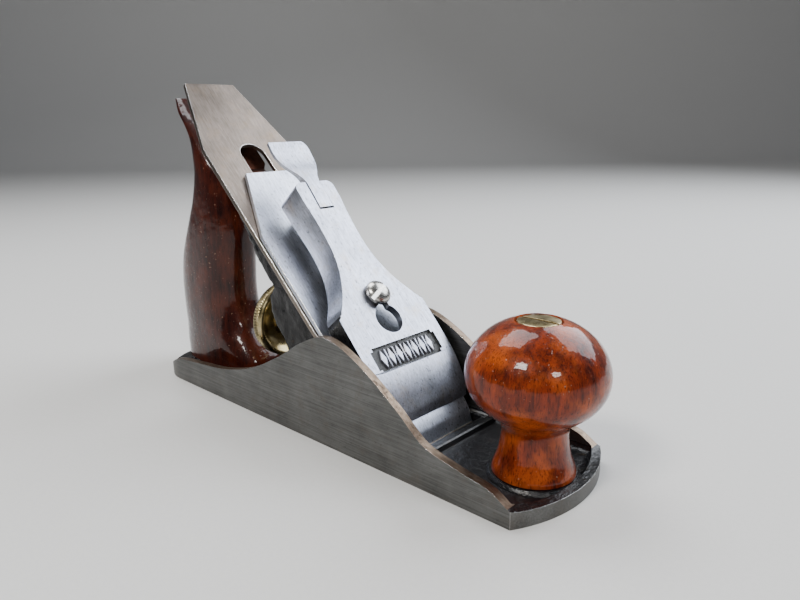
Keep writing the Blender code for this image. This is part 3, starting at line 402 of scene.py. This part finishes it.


# the ground sides' dark tones are painted shade, standing in for dark reflections; their grain, pits and
# stains are the steel's own
SIDE_STEEL = steel("side_steel", (0.075, 0.075, 0.072), (0.19, 0.19, 0.185), grain=(0.015, 1.0, 1.0),
                   pits=0.3, roughness=(0.34, 0.50), lines=0.008, stain=(0.13, 0.115, 0.10))
RIM = steel("rim_patina", (0.07, 0.045, 0.030), (0.30, 0.23, 0.17), grain=(0.25, 0.5, 0.5), pits=0.7,
            roughness=(0.30, 0.50), lines=0.02, grain_size=1.2)
# near-white steel for the bevels along edges: a painted highlight
EDGE = steel("painted_edge_highlight", (0.62, 0.60, 0.58), (0.92, 0.90, 0.88), pits=0.2, roughness=(0.16, 0.30))
BLACK = japan("black_japan", gloss=(0.06, 0.24))
FROG_BLACK = japan("frog_japan", lumps=0.08, gloss=(0.05, 0.2), shine=0.22)
IRON_STEEL = steel("iron_steel", (0.13, 0.105, 0.085), (0.33, 0.275, 0.235), grain=(0.05, 1.0, 1.0),
                   pits=0.4, roughness=(0.30, 0.44), stain=(0.26, 0.19, 0.13), lines=0.004)
# the bright bluish tones of the cap iron and the lever cap are a painted reflection of bluish light; their
# grain and pits, and the lever cap's stains, are the steel's own
CAP_STEEL = steel("cap_iron_steel", (0.38, 0.41, 0.50), (0.86, 0.90, 1.0), grain=(0.06, 1.0, 1.0),
                  pits=0.8, roughness=(0.32, 0.46), lines=0.005)
LEVER_STEEL = steel("lever_cap_steel", (0.26, 0.275, 0.32), (0.66, 0.69, 0.80), grain=(0.06, 1.0, 1.0),
                    pits=0.75, roughness=(0.30, 0.44), stain=(0.46, 0.40, 0.33), lines=0.005)
EVEN = (0.3, 0.3, 0.3)      # the grain of small pieces, the same in every direction
SCREW_STEEL = steel("screw_steel", (0.40, 0.38, 0.35), (0.72, 0.70, 0.66), grain=EVEN, pits=0.5,
                    roughness=(0.20, 0.34), stain=(0.25, 0.20, 0.14))
DARK_STEEL = steel("aged_steel", (0.14, 0.13, 0.12), (0.34, 0.32, 0.29), grain=EVEN, pits=0.6,
                   roughness=(0.3, 0.5), stain=(0.18, 0.12, 0.08))
RUSTY_STEEL = steel("browned_steel", (0.035, 0.012, 0.008), (0.12, 0.045, 0.028), grain=EVEN, pits=0.6,
                    roughness=(0.35, 0.55), stain=(0.10, 0.03, 0.015))
TAB_STEEL = steel("tab_steel", (0.26, 0.21, 0.10), (0.48, 0.42, 0.26), grain=EVEN, pits=0.5,
                  roughness=(0.3, 0.5))
PANEL_DARK = steel("panel_ground", (0.05, 0.05, 0.05), (0.13, 0.13, 0.13), grain=(1, 1, 1), pits=0.8,
                   roughness=(0.45, 0.65), lines=0.03)
SHOULDER = japan("shoulder_paint", brown=(0.10, 0.08, 0.06), lumps=0.15, gloss=(0.2, 0.45))
BRASS = brass("aged_brass")
# wood tones run from the deepest streaks to the lightest patches
KNOB_TONES = ((0.012, 0.002, 0.001), (0.050, 0.007, 0.003), (0.22, 0.028, 0.005), (0.46, 0.085, 0.010))
TOTE_TONES = ((0.006, 0.002, 0.001), (0.016, 0.003, 0.002), (0.048, 0.008, 0.004), (0.085, 0.016, 0.006))
KNOB_WOOD = rosewood("knob_rosewood", KNOB_TONES, grain=(1.0, 1.0, 0.14), streak=0.8)
TOTE_WOOD = rosewood("tote_rosewood", TOTE_TONES, grain=(1.0, 1.0, 0.12), lean=-0.25)


# ---------------------------------------------------------------- body casting

def plan_outline(inset, toe_count=40, heel_count=48):
    """The casting's plan, drawn in by inset: a shallow toe arc and half an ellipse at the heel."""
    half = HALF_WIDTH - inset
    reach = math.degrees(math.asin(half / (TOE_RADIUS - inset)))
    toe = arc((TOE_X - TOE_RADIUS, 0), TOE_RADIUS - inset, -reach, reach, toe_count)
    start = HEEL_X + HEEL_BULGE
    heel = [(start + (HEEL_BULGE - inset) * math.cos(a), half * math.sin(a))
            for a in steps(math.pi / 2, 3 * math.pi / 2, heel_count)]
    return toe + heel


def make_body():
    """The casting: sole, walls, frog seat, mouth, rib and knob boss."""
    clear_z, clear_y = 60, 40
    top = [(x, curve(WALL_TOP, x)) for x in steps(HEEL_X - 1, TOE_X + 1, 150)]
    above = prism(top + [(TOE_X + 1, clear_z), (HEEL_X - 1, clear_z)], -clear_y, clear_y, "XZ")
    hollow = []
    for a in steps(0, 90, 5):
        inset = WALL + FILLET * (1 - math.sin(math.radians(a)))
        z = FLOOR + FILLET * (1 - math.cos(math.radians(a)))
        hollow.append([(x, y, z) for x, y in plan_outline(inset)])
    hollow.append([(x, y, clear_z) for x, y in plan_outline(WALL)])
    knob_boss = turned([(15.6, 3.0), (15.0, 4.2), (14.2, 5.0)], "Z", (KNOB_X, 0, 0))
    frog_seat = prism(box_outline(-22.0, 28.0, -19.0, 19.0), 2.8, 9.0)
    screw_post = prism(box_outline(-22.0, -4.0, -5.8, 5.8), 2.8, 14.0)
    rib = prism([(52.7, 3.0), (53.6, 5.4), (54.2, 5.8), (55.8, 5.8), (56.4, 5.4), (57.3, 3.0)], -26, 26, "XZ")
    front, back, ramp_top, mouth_half = 50.4, 43.3, 4.8, 22.9
    mouth = prism([(front, -1), (front, ramp_top), (back - ramp_top, ramp_top), (back + 1, -1)],
                  -mouth_half, mouth_half, "XZ")
    knob_bore = turned([(3.3, 1.4), (3.3, 12)], "Z", (KNOB_X, 0, 0))
    adjuster_bore = turned([(2.6, -23), (2.6, -6)], "X", (0, 0, 9.5))
    work = [("DIFFERENCE", above), ("DIFFERENCE", skin(hollow)), ("UNION", knob_boss), ("UNION", frog_seat),
            ("UNION", screw_post), ("UNION", rib), ("DIFFERENCE", mouth), ("DIFFERENCE", knob_bore),
            ("DIFFERENCE", adjuster_bore)]
    for y in (-9.5, 9.5):
        frog_screw_bore = turned([(3.3, 2.0), (3.3, 12)], "Z", (6.0, y, 0))
        work.append(("DIFFERENCE", frog_screw_bore))
    casting = combine(prism(plan_outline(0), 0, 50), work)
    outside, rim, paint = 0, 1, 2

    def choose(centre, normal):
        x, y, z = centre
        on_sole = normal.z < -0.9 and z < 0.2
        if on_sole or abs(y) > HALF_WIDTH - 0.2:
            return outside
        heel_start = HEEL_X + HEEL_BULGE
        toe_out = math.hypot(x - (TOE_X - TOE_RADIUS), y) > TOE_RADIUS - 0.3
        heel_out = x < heel_start and math.hypot((x - heel_start) / HEEL_BULGE, y / HALF_WIDTH) > 0.985
        if (toe_out or heel_out) and abs(normal.z) < 0.6:
            return outside
        on_rim = abs(z - curve(WALL_TOP, x)) < 0.3 and z > FLOOR - 0.4 and normal.z > 0.3
        if on_rim and abs(y) > HALF_WIDTH - WALL - 0.2 and x < TOE_X - TOE_BULGE:
            return rim
        return paint

    made = piece("body_casting_fine", casting, BODY, ["body_casting"], "ground_casting",
                 [SIDE_STEEL, RIM, BLACK, EDGE], bevel=0.2, choose=choose, angle=28)
    mark_outer_edges(made)


def mark_outer_edges(made):
    """A wider bevel in bright steel along the edges where the ground outside meets the rest: a painted
    highlight.
    """
    outside, painted_edge_highlight = 0, 3      # material slots
    mesh = made.data
    faces_of = {}
    for face in mesh.polygons:
        for key in face.edge_keys:
            faces_of.setdefault(key, []).append(face)
    weights = mesh.attributes.new("bevel_weight_edge", "FLOAT", "EDGE")
    for edge in mesh.edges:
        faces = faces_of[edge.key]
        turned_away = len(faces) == 2 and faces[0].normal.dot(faces[1].normal) < 0.6
        if turned_away and any(f.material_index == outside for f in faces):
            weights.data[edge.index].value = 1.0
    modifier = made.modifiers.new("highlight_bevel", "BEVEL")
    modifier.width = 0.55 * MM
    modifier.segments = 2
    modifier.limit_method = "WEIGHT"
    modifier.material = painted_edge_highlight
    modifier.harden_normals = True
    made.modifiers.move(len(made.modifiers) - 1, 0)


def make_frog():
    """The frog's casting with the lumpy skin of thick paint over rough iron."""
    bm = bmesh.new()
    bm.from_mesh(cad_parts["frog"].data)
    bmesh.ops.remove_doubles(bm, verts=bm.verts, dist=WELD * MM)
    made = as_object(bm, "frog_fine")
    modifier = made.modifiers.new("grid", "REMESH")
    modifier.mode = "VOXEL"
    modifier.voxel_size = 0.8 * MM
    bpy.context.view_layer.update()
    graph = bpy.context.evaluated_depsgraph_get()
    mesh = bpy.data.meshes.new_from_object(made.evaluated_get(graph))
    made.modifiers.remove(modifier)
    made.data = mesh
    normals = [Vector(n.vector) for n in mesh.vertex_normals]
    coarse, fine, rise, sink = 190, 460, 0.32, 0.12      # noise frequencies per metre, heights in millimetres
    for vertex, normal in zip(mesh.vertices, normals):
        lump = noise.noise(vertex.co * coarse) + 0.6 * noise.noise(vertex.co * fine)
        vertex.co = vertex.co + normal * (lump * rise - sink) * MM
    dress(made, FROG, ["frog"], "japanned_casting", [FROG_BLACK], bevel=0, angle=70)


# ---------------------------------------------------------------- irons

def taper_cuts(full, end, half, end_half):
    """Cuts that narrow a plate from its full width at one distance to end_half at another."""
    slope = (half - end_half) / (end - full)
    cuts = []
    for side in (-1, 1):
        beside = [(full - 2, side * (half + 2 * slope)), (end + 2, side * (end_half - 2 * slope)),
                  (end + 2, side * (half + 4)), (full - 2, side * (half + 4))]
        cuts.append(("DIFFERENCE", prism(beside, -5, 12, "SY")))
    return cuts


def make_cutting_iron():
    """The long iron: bevelled at the edge, slotted for the cap iron's screw, narrowed at the top."""
    bottom, top, keyhole = 0.3, 2.3, 54.0
    section = [(-2.1, top), (1.5, bottom), (IRON_END, bottom), (IRON_END, top)]
    work = taper_cuts(144.0, IRON_END, IRON_HALF, 12.0)
    work += [("DIFFERENCE", prism(slot_outline(keyhole, 140.0, 6.0, 20), -5, 8, "SY")),
             ("DIFFERENCE", bed_rod(8.5, keyhole, -5, 8, 48))]
    plate = combine(prism(section, -IRON_HALF, IRON_HALF, "SH"), work)
    piece("cutting_iron_fine", plate, "cutting_iron", ["cutting_iron"], "tool_steel", [IRON_STEEL],
          place=BED, bevel=0.22, edge=EDGE)


def make_cap_iron():
    """The cap iron: a plate with a hump that curls down to the cutting edge."""
    low, thick, front, hump_end = 2.6, 1.8, -0.4, 26.0
    lower, upper = [], []
    for s in steps(front, hump_end, 40):
        t = (s - front) / (hump_end - front)
        rise = low + 2.0 * math.sin(math.pi * t**0.8) ** 2
        lower.append((s, rise))
        upper.append((s, rise + thick * min(1.0, 0.2 + 5.0 * t)))
    section = lower + [(CHIP_END, low), (CHIP_END, low + thick)] + upper[::-1]
    lever_slot = prism(box_outline(92.5, 100.6, -5.0, 5.0), -5, 12, "SY")
    work = taper_cuts(97.0, CHIP_END, CHIP_HALF, 11.4)
    work += [("DIFFERENCE", bed_rod(7.0, CAP_SCREW_S, -5, 12)), ("DIFFERENCE", lever_slot),
             ("DIFFERENCE", bed_rod(3.3, 106.5, -5, 12))]
    plate = combine(prism(section, -CHIP_HALF, CHIP_HALF, "SH"), work)
    piece("cap_iron_fine", plate, "cap_iron", ["cap_iron"], "cap_iron_steel", [CAP_STEEL],
          place=BED, bevel=0.22, edge=EDGE)


# ---------------------------------------------------------------- lever cap

def lever_cap_half(s):
    """The lever cap's half width at distance s, rounded off at its upper end."""
    past = max(s - (CAP_END - CAP_LOBE), 0.0)
    return curve(CAP_SIDE, s) - CAP_LOBE + math.sqrt(max(CAP_LOBE**2 - past**2, 0.0))


def cap_outline():
    """The lever cap's plan as a solid whose sides lean by CAP_FLARE."""
    lobe = [CAP_END - CAP_LOBE * (1 - math.sin(a)) for a in steps(0.2, 1.5, 7)]
    along = [CAP_START] + steps(49.0, 99.0, 40) + [101.0, 103.0, 104.0] + lobe
    rings = []
    for level in (4.0, 26.0):
        edge = []
        for s in along:
            lean = curve(CAP_FLARE, s) * (curve(CAP_TOP, s) - level)
            edge.append((s, min(lever_cap_half(s) + lean, CAP_HALF)))
        rings.append([(-s, y, level) for s, y in edge] + [(-s, -y, level) for s, y in edge[::-1]])
    return skin(rings)


def cap_hollow():
    """The hollow under the lever cap, an even wall inside its top and sides."""
    start, end, wall, roof_wall, clear = 22.0, 86.0, 2.6, 3.0, 23
    side = [(start, 19.0)] + [(s, curve(CAP_SIDE, s) - wall) for s in steps(49.0, end, 12)]
    plan = side + [(s, -y) for s, y in side[::-1]]
    roof = [(s, curve(CAP_TOP, s) - roof_wall) for s in steps(start, end, 12)]
    below_roof = prism([(start, 3.0), (end, 3.0)] + roof[::-1], -clear, clear, "SH")
    return combine(prism(plan, 3, 40, "SY"), [("INTERSECT", below_roof)])


def panel_recess():
    """The recessed panel, a rectangle with a notch at each corner."""
    low, high, half, depth = PANEL
    notch = 1.3
    plan = [(low + notch, -half), (high - notch, -half), (high - notch, notch - half), (high, notch - half),
            (high, half - notch), (high - notch, half - notch), (high - notch, half), (low + notch, half),
            (low + notch, half - notch), (low, half - notch), (low, notch - half),
            (low + notch, notch - half)]
    floor = [(s, curve(CAP_TOP, s) - depth) for s in steps(low, high, 6)]
    above_floor = prism(floor + [(high, 30), (low, 30)], -20, 20, "SH")
    return combine(prism(plan, 5, 40, "SY"), [("INTERSECT", above_floor)])


def make_lever_cap():
    """The lever cap: humped top, hollow underside, keyhole, room for the cam, and the panel."""
    clear = 23
    top = [(s, curve(CAP_TOP, s)) for s in steps(CAP_START, 31.0, 28) + steps(34.0, CAP_END + 1, 14)]
    under = list(CAP_UNDER[:-1]) + [(CAP_END + 1, CAP_UNDER[-1][1])]
    cam_room = [(94.3, 30.0), (94.3, 20.6), (93.3, 19.2), (92.5, 17.3), (92.2, 15.0), (92.2, 0.0),
                (109, 0.0), (109, 30.0)]
    pin_s, pin_h = CAM_PIN
    keyhole_slot = prism(slot_outline(KEYHOLE_S, 55.2, 3.4), 0, 40, "SY")
    pin_hole = turned([(PIN_BORE, -7.4), (PIN_BORE, 7.4)], "Y", (-pin_s, 0, pin_h), 32)
    work = [("INTERSECT", cap_outline()), ("DIFFERENCE", cap_hollow()),
            ("UNION", bed_rod(4.0, SPRING_S, 9.0, 17.0)), ("DIFFERENCE", keyhole_slot),
            ("DIFFERENCE", bed_rod(5.9, KEYHOLE_S, 0, 40, 56)),
            ("DIFFERENCE", prism(cam_room, -3.6, 3.6, "SH")), ("DIFFERENCE", pin_hole),
            ("DIFFERENCE", bed_rod(1.5, SPRING_S, 5, 13.5, 24)), ("DIFFERENCE", panel_recess())]
    cap = combine(prism(under + top[::-1], -clear, clear, "SH"), work)
    bare, ground, painted = 0, 1, 2
    low, high, half, depth = PANEL

    def choose(centre, normal):
        s, y, h = -centre.x, centre.y, centre.z
        in_hollow = h < curve(CAP_TOP, s) - 2.9 and abs(y) < 20 and 9.5 < s < 49
        if normal.z < -0.3 or in_hollow:
            return painted
        if low - 0.1 < s < high + 0.1 and abs(y) < half + 0.1 and h < curve(CAP_TOP, s) - 0.2:
            return ground
        if abs(y) > 16 and s < 52 and abs(normal.z) < 0.5:
            return painted
        return bare

    piece("lever_cap_fine", cap, "lever_cap", ["lever_cap"], "lever_cap_metal",
          [LEVER_STEEL, PANEL_DARK, SHOULDER], place=BED, bevel=0.28, edge=EDGE, choose=choose, angle=24)


def make_ornament():
    """Raised lozenges and bars in the recessed panel: a plain repeating border pattern."""
    low, high, half, depth = PANEL
    middle, margin, count, bar_half = (low + high) / 2, 2.6, 7, 0.34
    reach = (high - low) / 2 - 1.2
    pitch = 2 * (half - margin) / count
    swell = pitch * 0.34
    level = curve(CAP_TOP, middle)
    tilt = (curve(CAP_TOP, high) - curve(CAP_TOP, low)) / (high - low)
    bm = bmesh.new()
    shapes = []
    for i in range(count):
        y = -half + margin + pitch * (i + 0.5)
        shapes.append([(middle - reach, y), (middle, y - swell), (middle + reach, y), (middle, y + swell)])
        if i:
            edge = y - pitch / 2
            shapes.append(box_outline(middle - reach, middle + reach, edge - bar_half, edge + bar_half))
    for outline in shapes:
        rings = []
        for rise, shrink in ((-depth - 0.3, 1.0), (-0.35, 1.0), (-0.08, 0.86)):
            centre_y = sum(p[1] for p in outline) / len(outline)
            rings.append([(-(middle + (s - middle) * shrink), centre_y + (y - centre_y) * shrink,
                           level + tilt * (s - middle) + rise) for s, y in outline])
        part = skin(rings)
        mesh = bpy.data.meshes.new("lozenge")
        part.to_mesh(mesh)
        part.free()
        bm.from_mesh(mesh)
        bpy.data.meshes.remove(mesh)
    piece("lever_cap_ornament", bm, "lever_cap", [], "lever_cap_metal", [LEVER_STEEL], place=BED, bevel=0.08)


def make_cam_lever():
    """The cam lever: a cam on its pin and a thumb plate, rounded at one corner and square at the other."""
    pin_s, pin_h = CAM_PIN
    start, tip, cam_radius, nose, stem_half = 95.0, 127.4, 5.2, 5.9, 3.2
    top = ((start, 21.1), (106.0, 22.2), (112.0, 22.0), (118.0, 21.3), (123.0, 21.4), (tip, 22.6))
    under = ((107.5, 19.2), (112.0, 20.4), (118.0, 20.0), (123.0, 20.1), (tip, 21.3))
    upper = [(s, curve(top, s)) for s in steps(start, tip, 44)]
    lower = [(s, curve(under, s)) for s in steps(tip, 107.5, 26)]
    cam = (arc(CAM_PIN, cam_radius, 20, -60, 14) + [(pin_s, pin_h - nose)]
           + arc(CAM_PIN, cam_radius, -120, -200, 14))
    half = ((107.0, stem_half), (110.0, 4.2), (112.5, 5.8), (116.0, 7.7), (120.0, 8.9), (123.6, 9.25))
    edge = [(90.0, stem_half), (106.8, stem_half)] + [(s, curve(half, s)) for s in steps(107.0, 123.0, 26)]
    rounded = arc((123.2, 4.6), 4.6, 85, 5, 10)
    plan = edge + rounded + [(s, -y) for s, y in (edge + [(127.2, 9.6), (127.9, 9.4)])[::-1]]
    pin_hole = turned([(PIN_BORE, -14), (PIN_BORE, 14)], "Y", (-pin_s, 0, pin_h), 32)
    lever = combine(prism([(start, 19.6)] + upper + lower + cam, -12, 12, "SH"),
                    [("INTERSECT", prism(plan, 0, 40, "SY")), ("DIFFERENCE", pin_hole)])
    piece("cam_lever_fine", lever, "cam_lever", ["cam_lever"], "lever_cap_metal", [LEVER_STEEL], place=BED,
          bevel=0.3, edge=EDGE, angle=24)


def make_lever_cap_screw():
    """The lever cap's screw, with a domed head and one slot."""
    s, low, shank, head, slot_half = CAP_SCREW_S, curve(CAP_TOP, 60.0) + 0.3, 3.0, 5.0, 0.8
    dome = [(head * math.cos(a), low + 1.0 + 2.9 * math.sin(a)) for a in steps(0, math.radians(84), 16)]
    profile = [(shank, -14.0), (shank, low), (head - 0.3, low), (head, low + 0.3)] + dome
    screw = turned(profile, "Z", (-s, 0, 0), 64)
    slot = prism(box_outline(s - slot_half, s + slot_half, -7, 7), low + 1.3, low + 6, "SY")
    turn = Matrix.Rotation(math.radians(24), 3, "Z")
    bmesh.ops.rotate(slot, cent=(-s, 0, 0), matrix=turn, verts=slot.verts)
    screw = combine(screw, [("DIFFERENCE", slot)])
    piece("lever_cap_screw_fine", screw, "lever_cap_screw", ["lever_cap_screw"], "screw_steel", [SCREW_STEEL],
          place=BED, bevel=0.15, edge=EDGE)


# ---------------------------------------------------------------- depth wheel

def make_wheel():
    """The knurled depth wheel, with a dished rear face and a grooved hub; 1 marks the knurled rings."""
    teeth, per_tooth, tooth_depth, axis_z = 84, 4, 0.38, 32.0
    segments = teeth * per_tooth
    outer, rear, front, hub = 16.0, -39.5, -33.5, 7.2
    profile = [(3.3, rear - 2.4, 0), (5.6, rear - 2.4, 0), (6.2, rear - 1.9, 0), (6.5, rear + 0.2, 0),
               (8.2, rear + 1.0, 0), (12.2, rear + 1.1, 0), (13.4, rear + 0.2, 0), (outer - 1.2, rear, 0),
               (outer - 0.45, rear + 0.4, 0), (outer - 0.1, rear + 0.8, 1), (outer, rear + 1.6, 1),
               (outer, rear + 2.6, 1), (outer - 0.1, rear + 3.3, 1), (outer - 0.5, rear + 3.6, 0),
               (outer - 0.5, rear + 4.0, 0), (outer - 0.05, rear + 4.4, 0), (outer - 0.05, front - 0.7, 0),
               (outer - 0.6, front - 0.1, 0), (outer - 1.2, front, 0), (14.2, front - 0.2, 0),
               (13.4, front - 0.9, 0), (12.4, front - 2.0, 0), (11.2, front - 2.7, 0),
               (9.0, front - 2.9, 0), (hub + 0.3, front - 2.6, 0), (hub, front - 2.0, 0), (hub, -32.0, 0),
               (4.6, -32.0, 0), (4.6, -26.4, 0), (hub, -26.4, 0), (hub, -24.8, 0), (hub - 0.4, -24.4, 0),
               (3.3, -24.4, 0)]
    rings = []
    for radius, x, knurled in profile:
        ring = []
        for i in range(segments):
            a = 2 * math.pi * i / segments
            tooth = abs((i % per_tooth) - per_tooth / 2) / (per_tooth / 2)
            r = radius - (tooth_depth * (1 - tooth) if knurled else 0)
            ring.append((x, r * math.cos(a), axis_z + r * math.sin(a)))
        rings.append(ring)
    piece("depth_wheel_fine", skin(rings, closed_ends=False), "depth_wheel", ["depth_wheel"],
          "yellow_brass", [BRASS], bevel=0, angle=40)


# ---------------------------------------------------------------- knob and tote

def make_knob():
    """The turned knob with its bore, as a ring that closes on itself."""
    radius, middle, seat, seat_z = 22.4, 37.5, 7.1, 46.0
    profile = [(KNOB_BORE, 12.0), (KNOB_BORE, seat_z), (seat, seat_z), (seat, 54.0)]
    start = math.acos(7.5 / radius)
    over, below = 18.2, 16.5
    profile += [(radius * math.cos(a), middle + over * math.sin(a)) for a in steps(start, 0.0, 34)]
    profile += [(radius * math.cos(a), middle - below * math.sin(a)) for a in steps(0.06, 0.92, 24)]
    neck = ((5.3, 13.4), (6.4, 13.3), (8.4, 12.6), (11.0, 11.7), (14.4, 11.0), (18.3, 10.6), (21.0, 10.9),
            (24.35, 13.55))
    profile += [(curve(neck, z), z) for z in steps(24.0, 5.3, 26)]
    profile += [(KNOB_BORE, 5.3)]
    bm = turned(profile, "Z", (KNOB_X, 0, 0), 112, closed_ends=False)
    piece("front_knob_fine", bm, BODY, ["front_knob"], "knob_wood", [KNOB_WOOD], bevel=0, angle=40)


def make_knob_nut():
    """The slotted brass nut on top of the knob, drilled for the rod."""
    top, stem, rim, seat_z = 54.6, 4.1, 6.8, 51.7
    profile = [(stem, 37.0), (stem, seat_z), (rim, seat_z), (rim, top - 0.45), (rim - 0.2, top - 0.1),
               (6.3, top), (3.0, top + 0.12)]
    nut = turned(profile, "Z", (KNOB_X, 0, 0), 72)
    slot = prism(box_outline(KNOB_X - 8, KNOB_X + 8, -0.55, 0.55), top - 1.0, 60)
    bore = turned([(3.3, 30), (3.3, 48)], "Z", (KNOB_X, 0, 0), 32)
    nut = combine(nut, [("DIFFERENCE", bore), ("DIFFERENCE", slot)])
    piece("knob_nut_fine", nut, BODY, ["knob_nut"], "yellow_brass", [BRASS], bevel=0.12)


def tote_ring(z, count):
    """The tote's section at height z: a superellipse."""
    back, front, half = curve(TOTE_BACK, z), curve(TOTE_FRONT, z), curve(TOTE_HALF, z)
    square = curve(TOTE_SQUARE, z)
    ring = []
    for i in range(count):
        a = 2 * math.pi * i / count
        along = math.copysign(abs(math.cos(a)) ** square, math.cos(a))
        x = (front + back) / 2 + (front - back) / 2 * along
        y = half * math.copysign(abs(math.sin(a)) ** square, math.sin(a))
        ring.append((x, y, z))
    return ring


def make_tote():
    """The handle, bored along its leaning rod; its rings crowd together at the foot and the tip."""
    levels = [4.1, 4.5, 5.2] + steps(6.5, 118.0, 84) + [119.6, 121.2, 122.6, 123.8, 124.5, 125.0]
    foot, top = Vector((-69.5, 0, 4.0)), Vector((-82.0, 0, 104.0))
    lean = Matrix.Translation(foot) @ Vector((0, 0, 1)).rotation_difference(top - foot).to_matrix().to_4x4()
    reach = (top - foot).length
    bore = turned([(4.5, -3), (4.5, reach - 4), (6.8, reach - 4), (6.8, reach + 30)], segments=48)
    bmesh.ops.transform(bore, matrix=lean, verts=bore.verts)
    tote = combine(skin([tote_ring(z, 72) for z in levels]), [("DIFFERENCE", bore)])
    piece("tote_fine", tote, BODY, ["tote"], "tote_wood", [TOTE_WOOD], bevel=0.2, angle=50)


# ---------------------------------------------------------------- smaller pieces

def make_small_pieces():
    """Screws, levers, pins and plates, which keep the CAD's shape with softened edges."""
    for node in ("frog_screw_left", "frog_screw_right", "tote_rod", "knob_rod"):
        from_cad(node, BODY, "screw_steel", [DARK_STEEL], bevel=0.15)
    for node in ("frog_washer_left", "frog_washer_right"):
        from_cad(node, BODY, "screw_steel", [DARK_STEEL], bevel=0.1)
    from_cad("tote_nut", BODY, "yellow_brass", [BRASS], bevel=0.15)
    for node in ("frog_adjust_plate", "frog_plate_screw", "depth_stud", "y_lever_pin"):
        from_cad(node, FROG, "screw_steel", [DARK_STEEL], bevel=0.12)
    from_cad("lateral_rivet", FROG, "screw_steel", [DARK_STEEL], bed=True, bevel=0.12)
    from_cad("frog_adjust_screw", "frog_adjust_screw", "screw_steel", [DARK_STEEL], bevel=0.15)
    from_cad("y_lever", "y_lever", "screw_steel", [FROG_BLACK], bevel=0.25)
    from_cad("cap_iron_screw", "cap_iron", "screw_steel", [DARK_STEEL], bed=True, bevel=0.15)
    from_cad("lateral_lever", "lateral_lever", "screw_steel", [RUSTY_STEEL], bed=True, bevel=0.15)
    from_cad("lateral_disc", "lateral_lever", "screw_steel", [DARK_STEEL], bed=True, bevel=0.15)
    from_cad("lateral_thumb_tab", "lateral_lever", "tab_metal", [TAB_STEEL], bed=True, bevel=0.2)
    from_cad("cam_pin", "lever_cap", "screw_steel", [DARK_STEEL], bed=True, bevel=0.15)
    from_cad("spring_rivet", "lever_cap", "screw_steel", [DARK_STEEL], bed=True, bevel=0.1)
    from_cad("lever_cap_spring", "lever_cap", "spring_steel", [DARK_STEEL], bed=True, bevel=0.1)


# ---------------------------------------------------------------- stage, lights, camera

def make_stage():
    """A pale floor that curves up into a wall behind the object, as the camera looks."""
    size, back, bend, height = 3.0, 1.6, 0.5, 2.5
    curved = [(back + bend * math.sin(a), bend - bend * math.cos(a)) for a in steps(0.1, math.pi / 2, 12)]
    rows = [(-size, 0.0), (back, 0.0)] + curved + [(back + bend, height)]
    bm = bmesh.new()
    away = Vector((-0.683, 0.731, 0.0))
    side = Vector((0.731, 0.683, 0.0))
    lines = [[bm.verts.new(away * d + side * w + Vector((0, 0, z))) for w in (-size, size)] for d, z in rows]
    for low, high in zip(lines, lines[1:]):
        bm.faces.new((low[0], low[1], high[1], high[0]))
    floor = as_object(bm, "floor")
    floor.data.materials.append(pale_floor())
    floor.data.shade_smooth()


def area_light(name, place, target, size, power, colour):
    """A rectangular light at place, turned towards target."""
    data = bpy.data.lights.new(name, "AREA")
    data.shape = "RECTANGLE"
    data.size, data.size_y = size
    data.energy = power
    data.color = colour
    lamp = bpy.data.objects.new(name, data)
    bpy.context.collection.objects.link(lamp)
    lamp.location = place
    lamp.rotation_euler = (Vector(target) - Vector(place)).to_track_quat("-Z", "Y").to_euler()


def make_lights():
    """A dim bluish surround and four soft lights."""
    world = bpy.data.worlds.new("studio")
    world.use_nodes = True
    background = world.node_tree.nodes["Background"]
    background.inputs["Color"].default_value = (0.62, 0.66, 0.74, 1)
    background.inputs["Strength"].default_value = 0.16
    bpy.context.scene.world = world
    middle = (0.0, 0.0, 0.05)
    area_light("key", (0.05, -0.75, 0.85), middle, (0.32, 0.22), 9.0, (1.0, 0.98, 0.94))
    area_light("behind", (0.26, 0.78, 0.74), middle, (0.9, 0.8), 15.0, (0.88, 0.93, 1.0))
    area_light("above", (-0.45, 0.1, 1.0), middle, (0.6, 0.6), 9.0, (0.95, 0.97, 1.0))
    area_light("front", (0.8, -0.35, 0.55), middle, (0.18, 0.14), 2.5, (1.0, 0.98, 0.95))


def make_camera():
    """The camera at the photograph's viewing angle."""
    place = Vector((0.190167, -0.170823, 0.112675))
    forward = Vector((-0.66060789, 0.70641325, -0.2541211)).normalized()
    roll = math.radians(-0.870)
    right = forward.cross(Vector((0, 0, 1))).normalized()
    up = right.cross(forward)
    across = right * math.cos(roll) + up * math.sin(roll)
    upright = up * math.cos(roll) - right * math.sin(roll)
    data = bpy.data.cameras.new("camera")
    data.sensor_width = 36.0
    data.lens = 30.334
    data.clip_start = 0.01
    camera = bpy.data.objects.new("camera", data)
    bpy.context.collection.objects.link(camera)
    turn = Matrix((across, upright, -forward)).transposed().to_4x4()
    camera.matrix_world = Matrix.Translation(place) @ turn
    bpy.context.scene.camera = camera


make_body()
make_frog()
make_cutting_iron()
make_cap_iron()
make_lever_cap()
make_ornament()
make_cam_lever()
make_lever_cap_screw()
make_wheel()
make_knob()
make_knob_nut()
make_tote()
make_small_pieces()
make_stage()
make_lights()
make_camera()
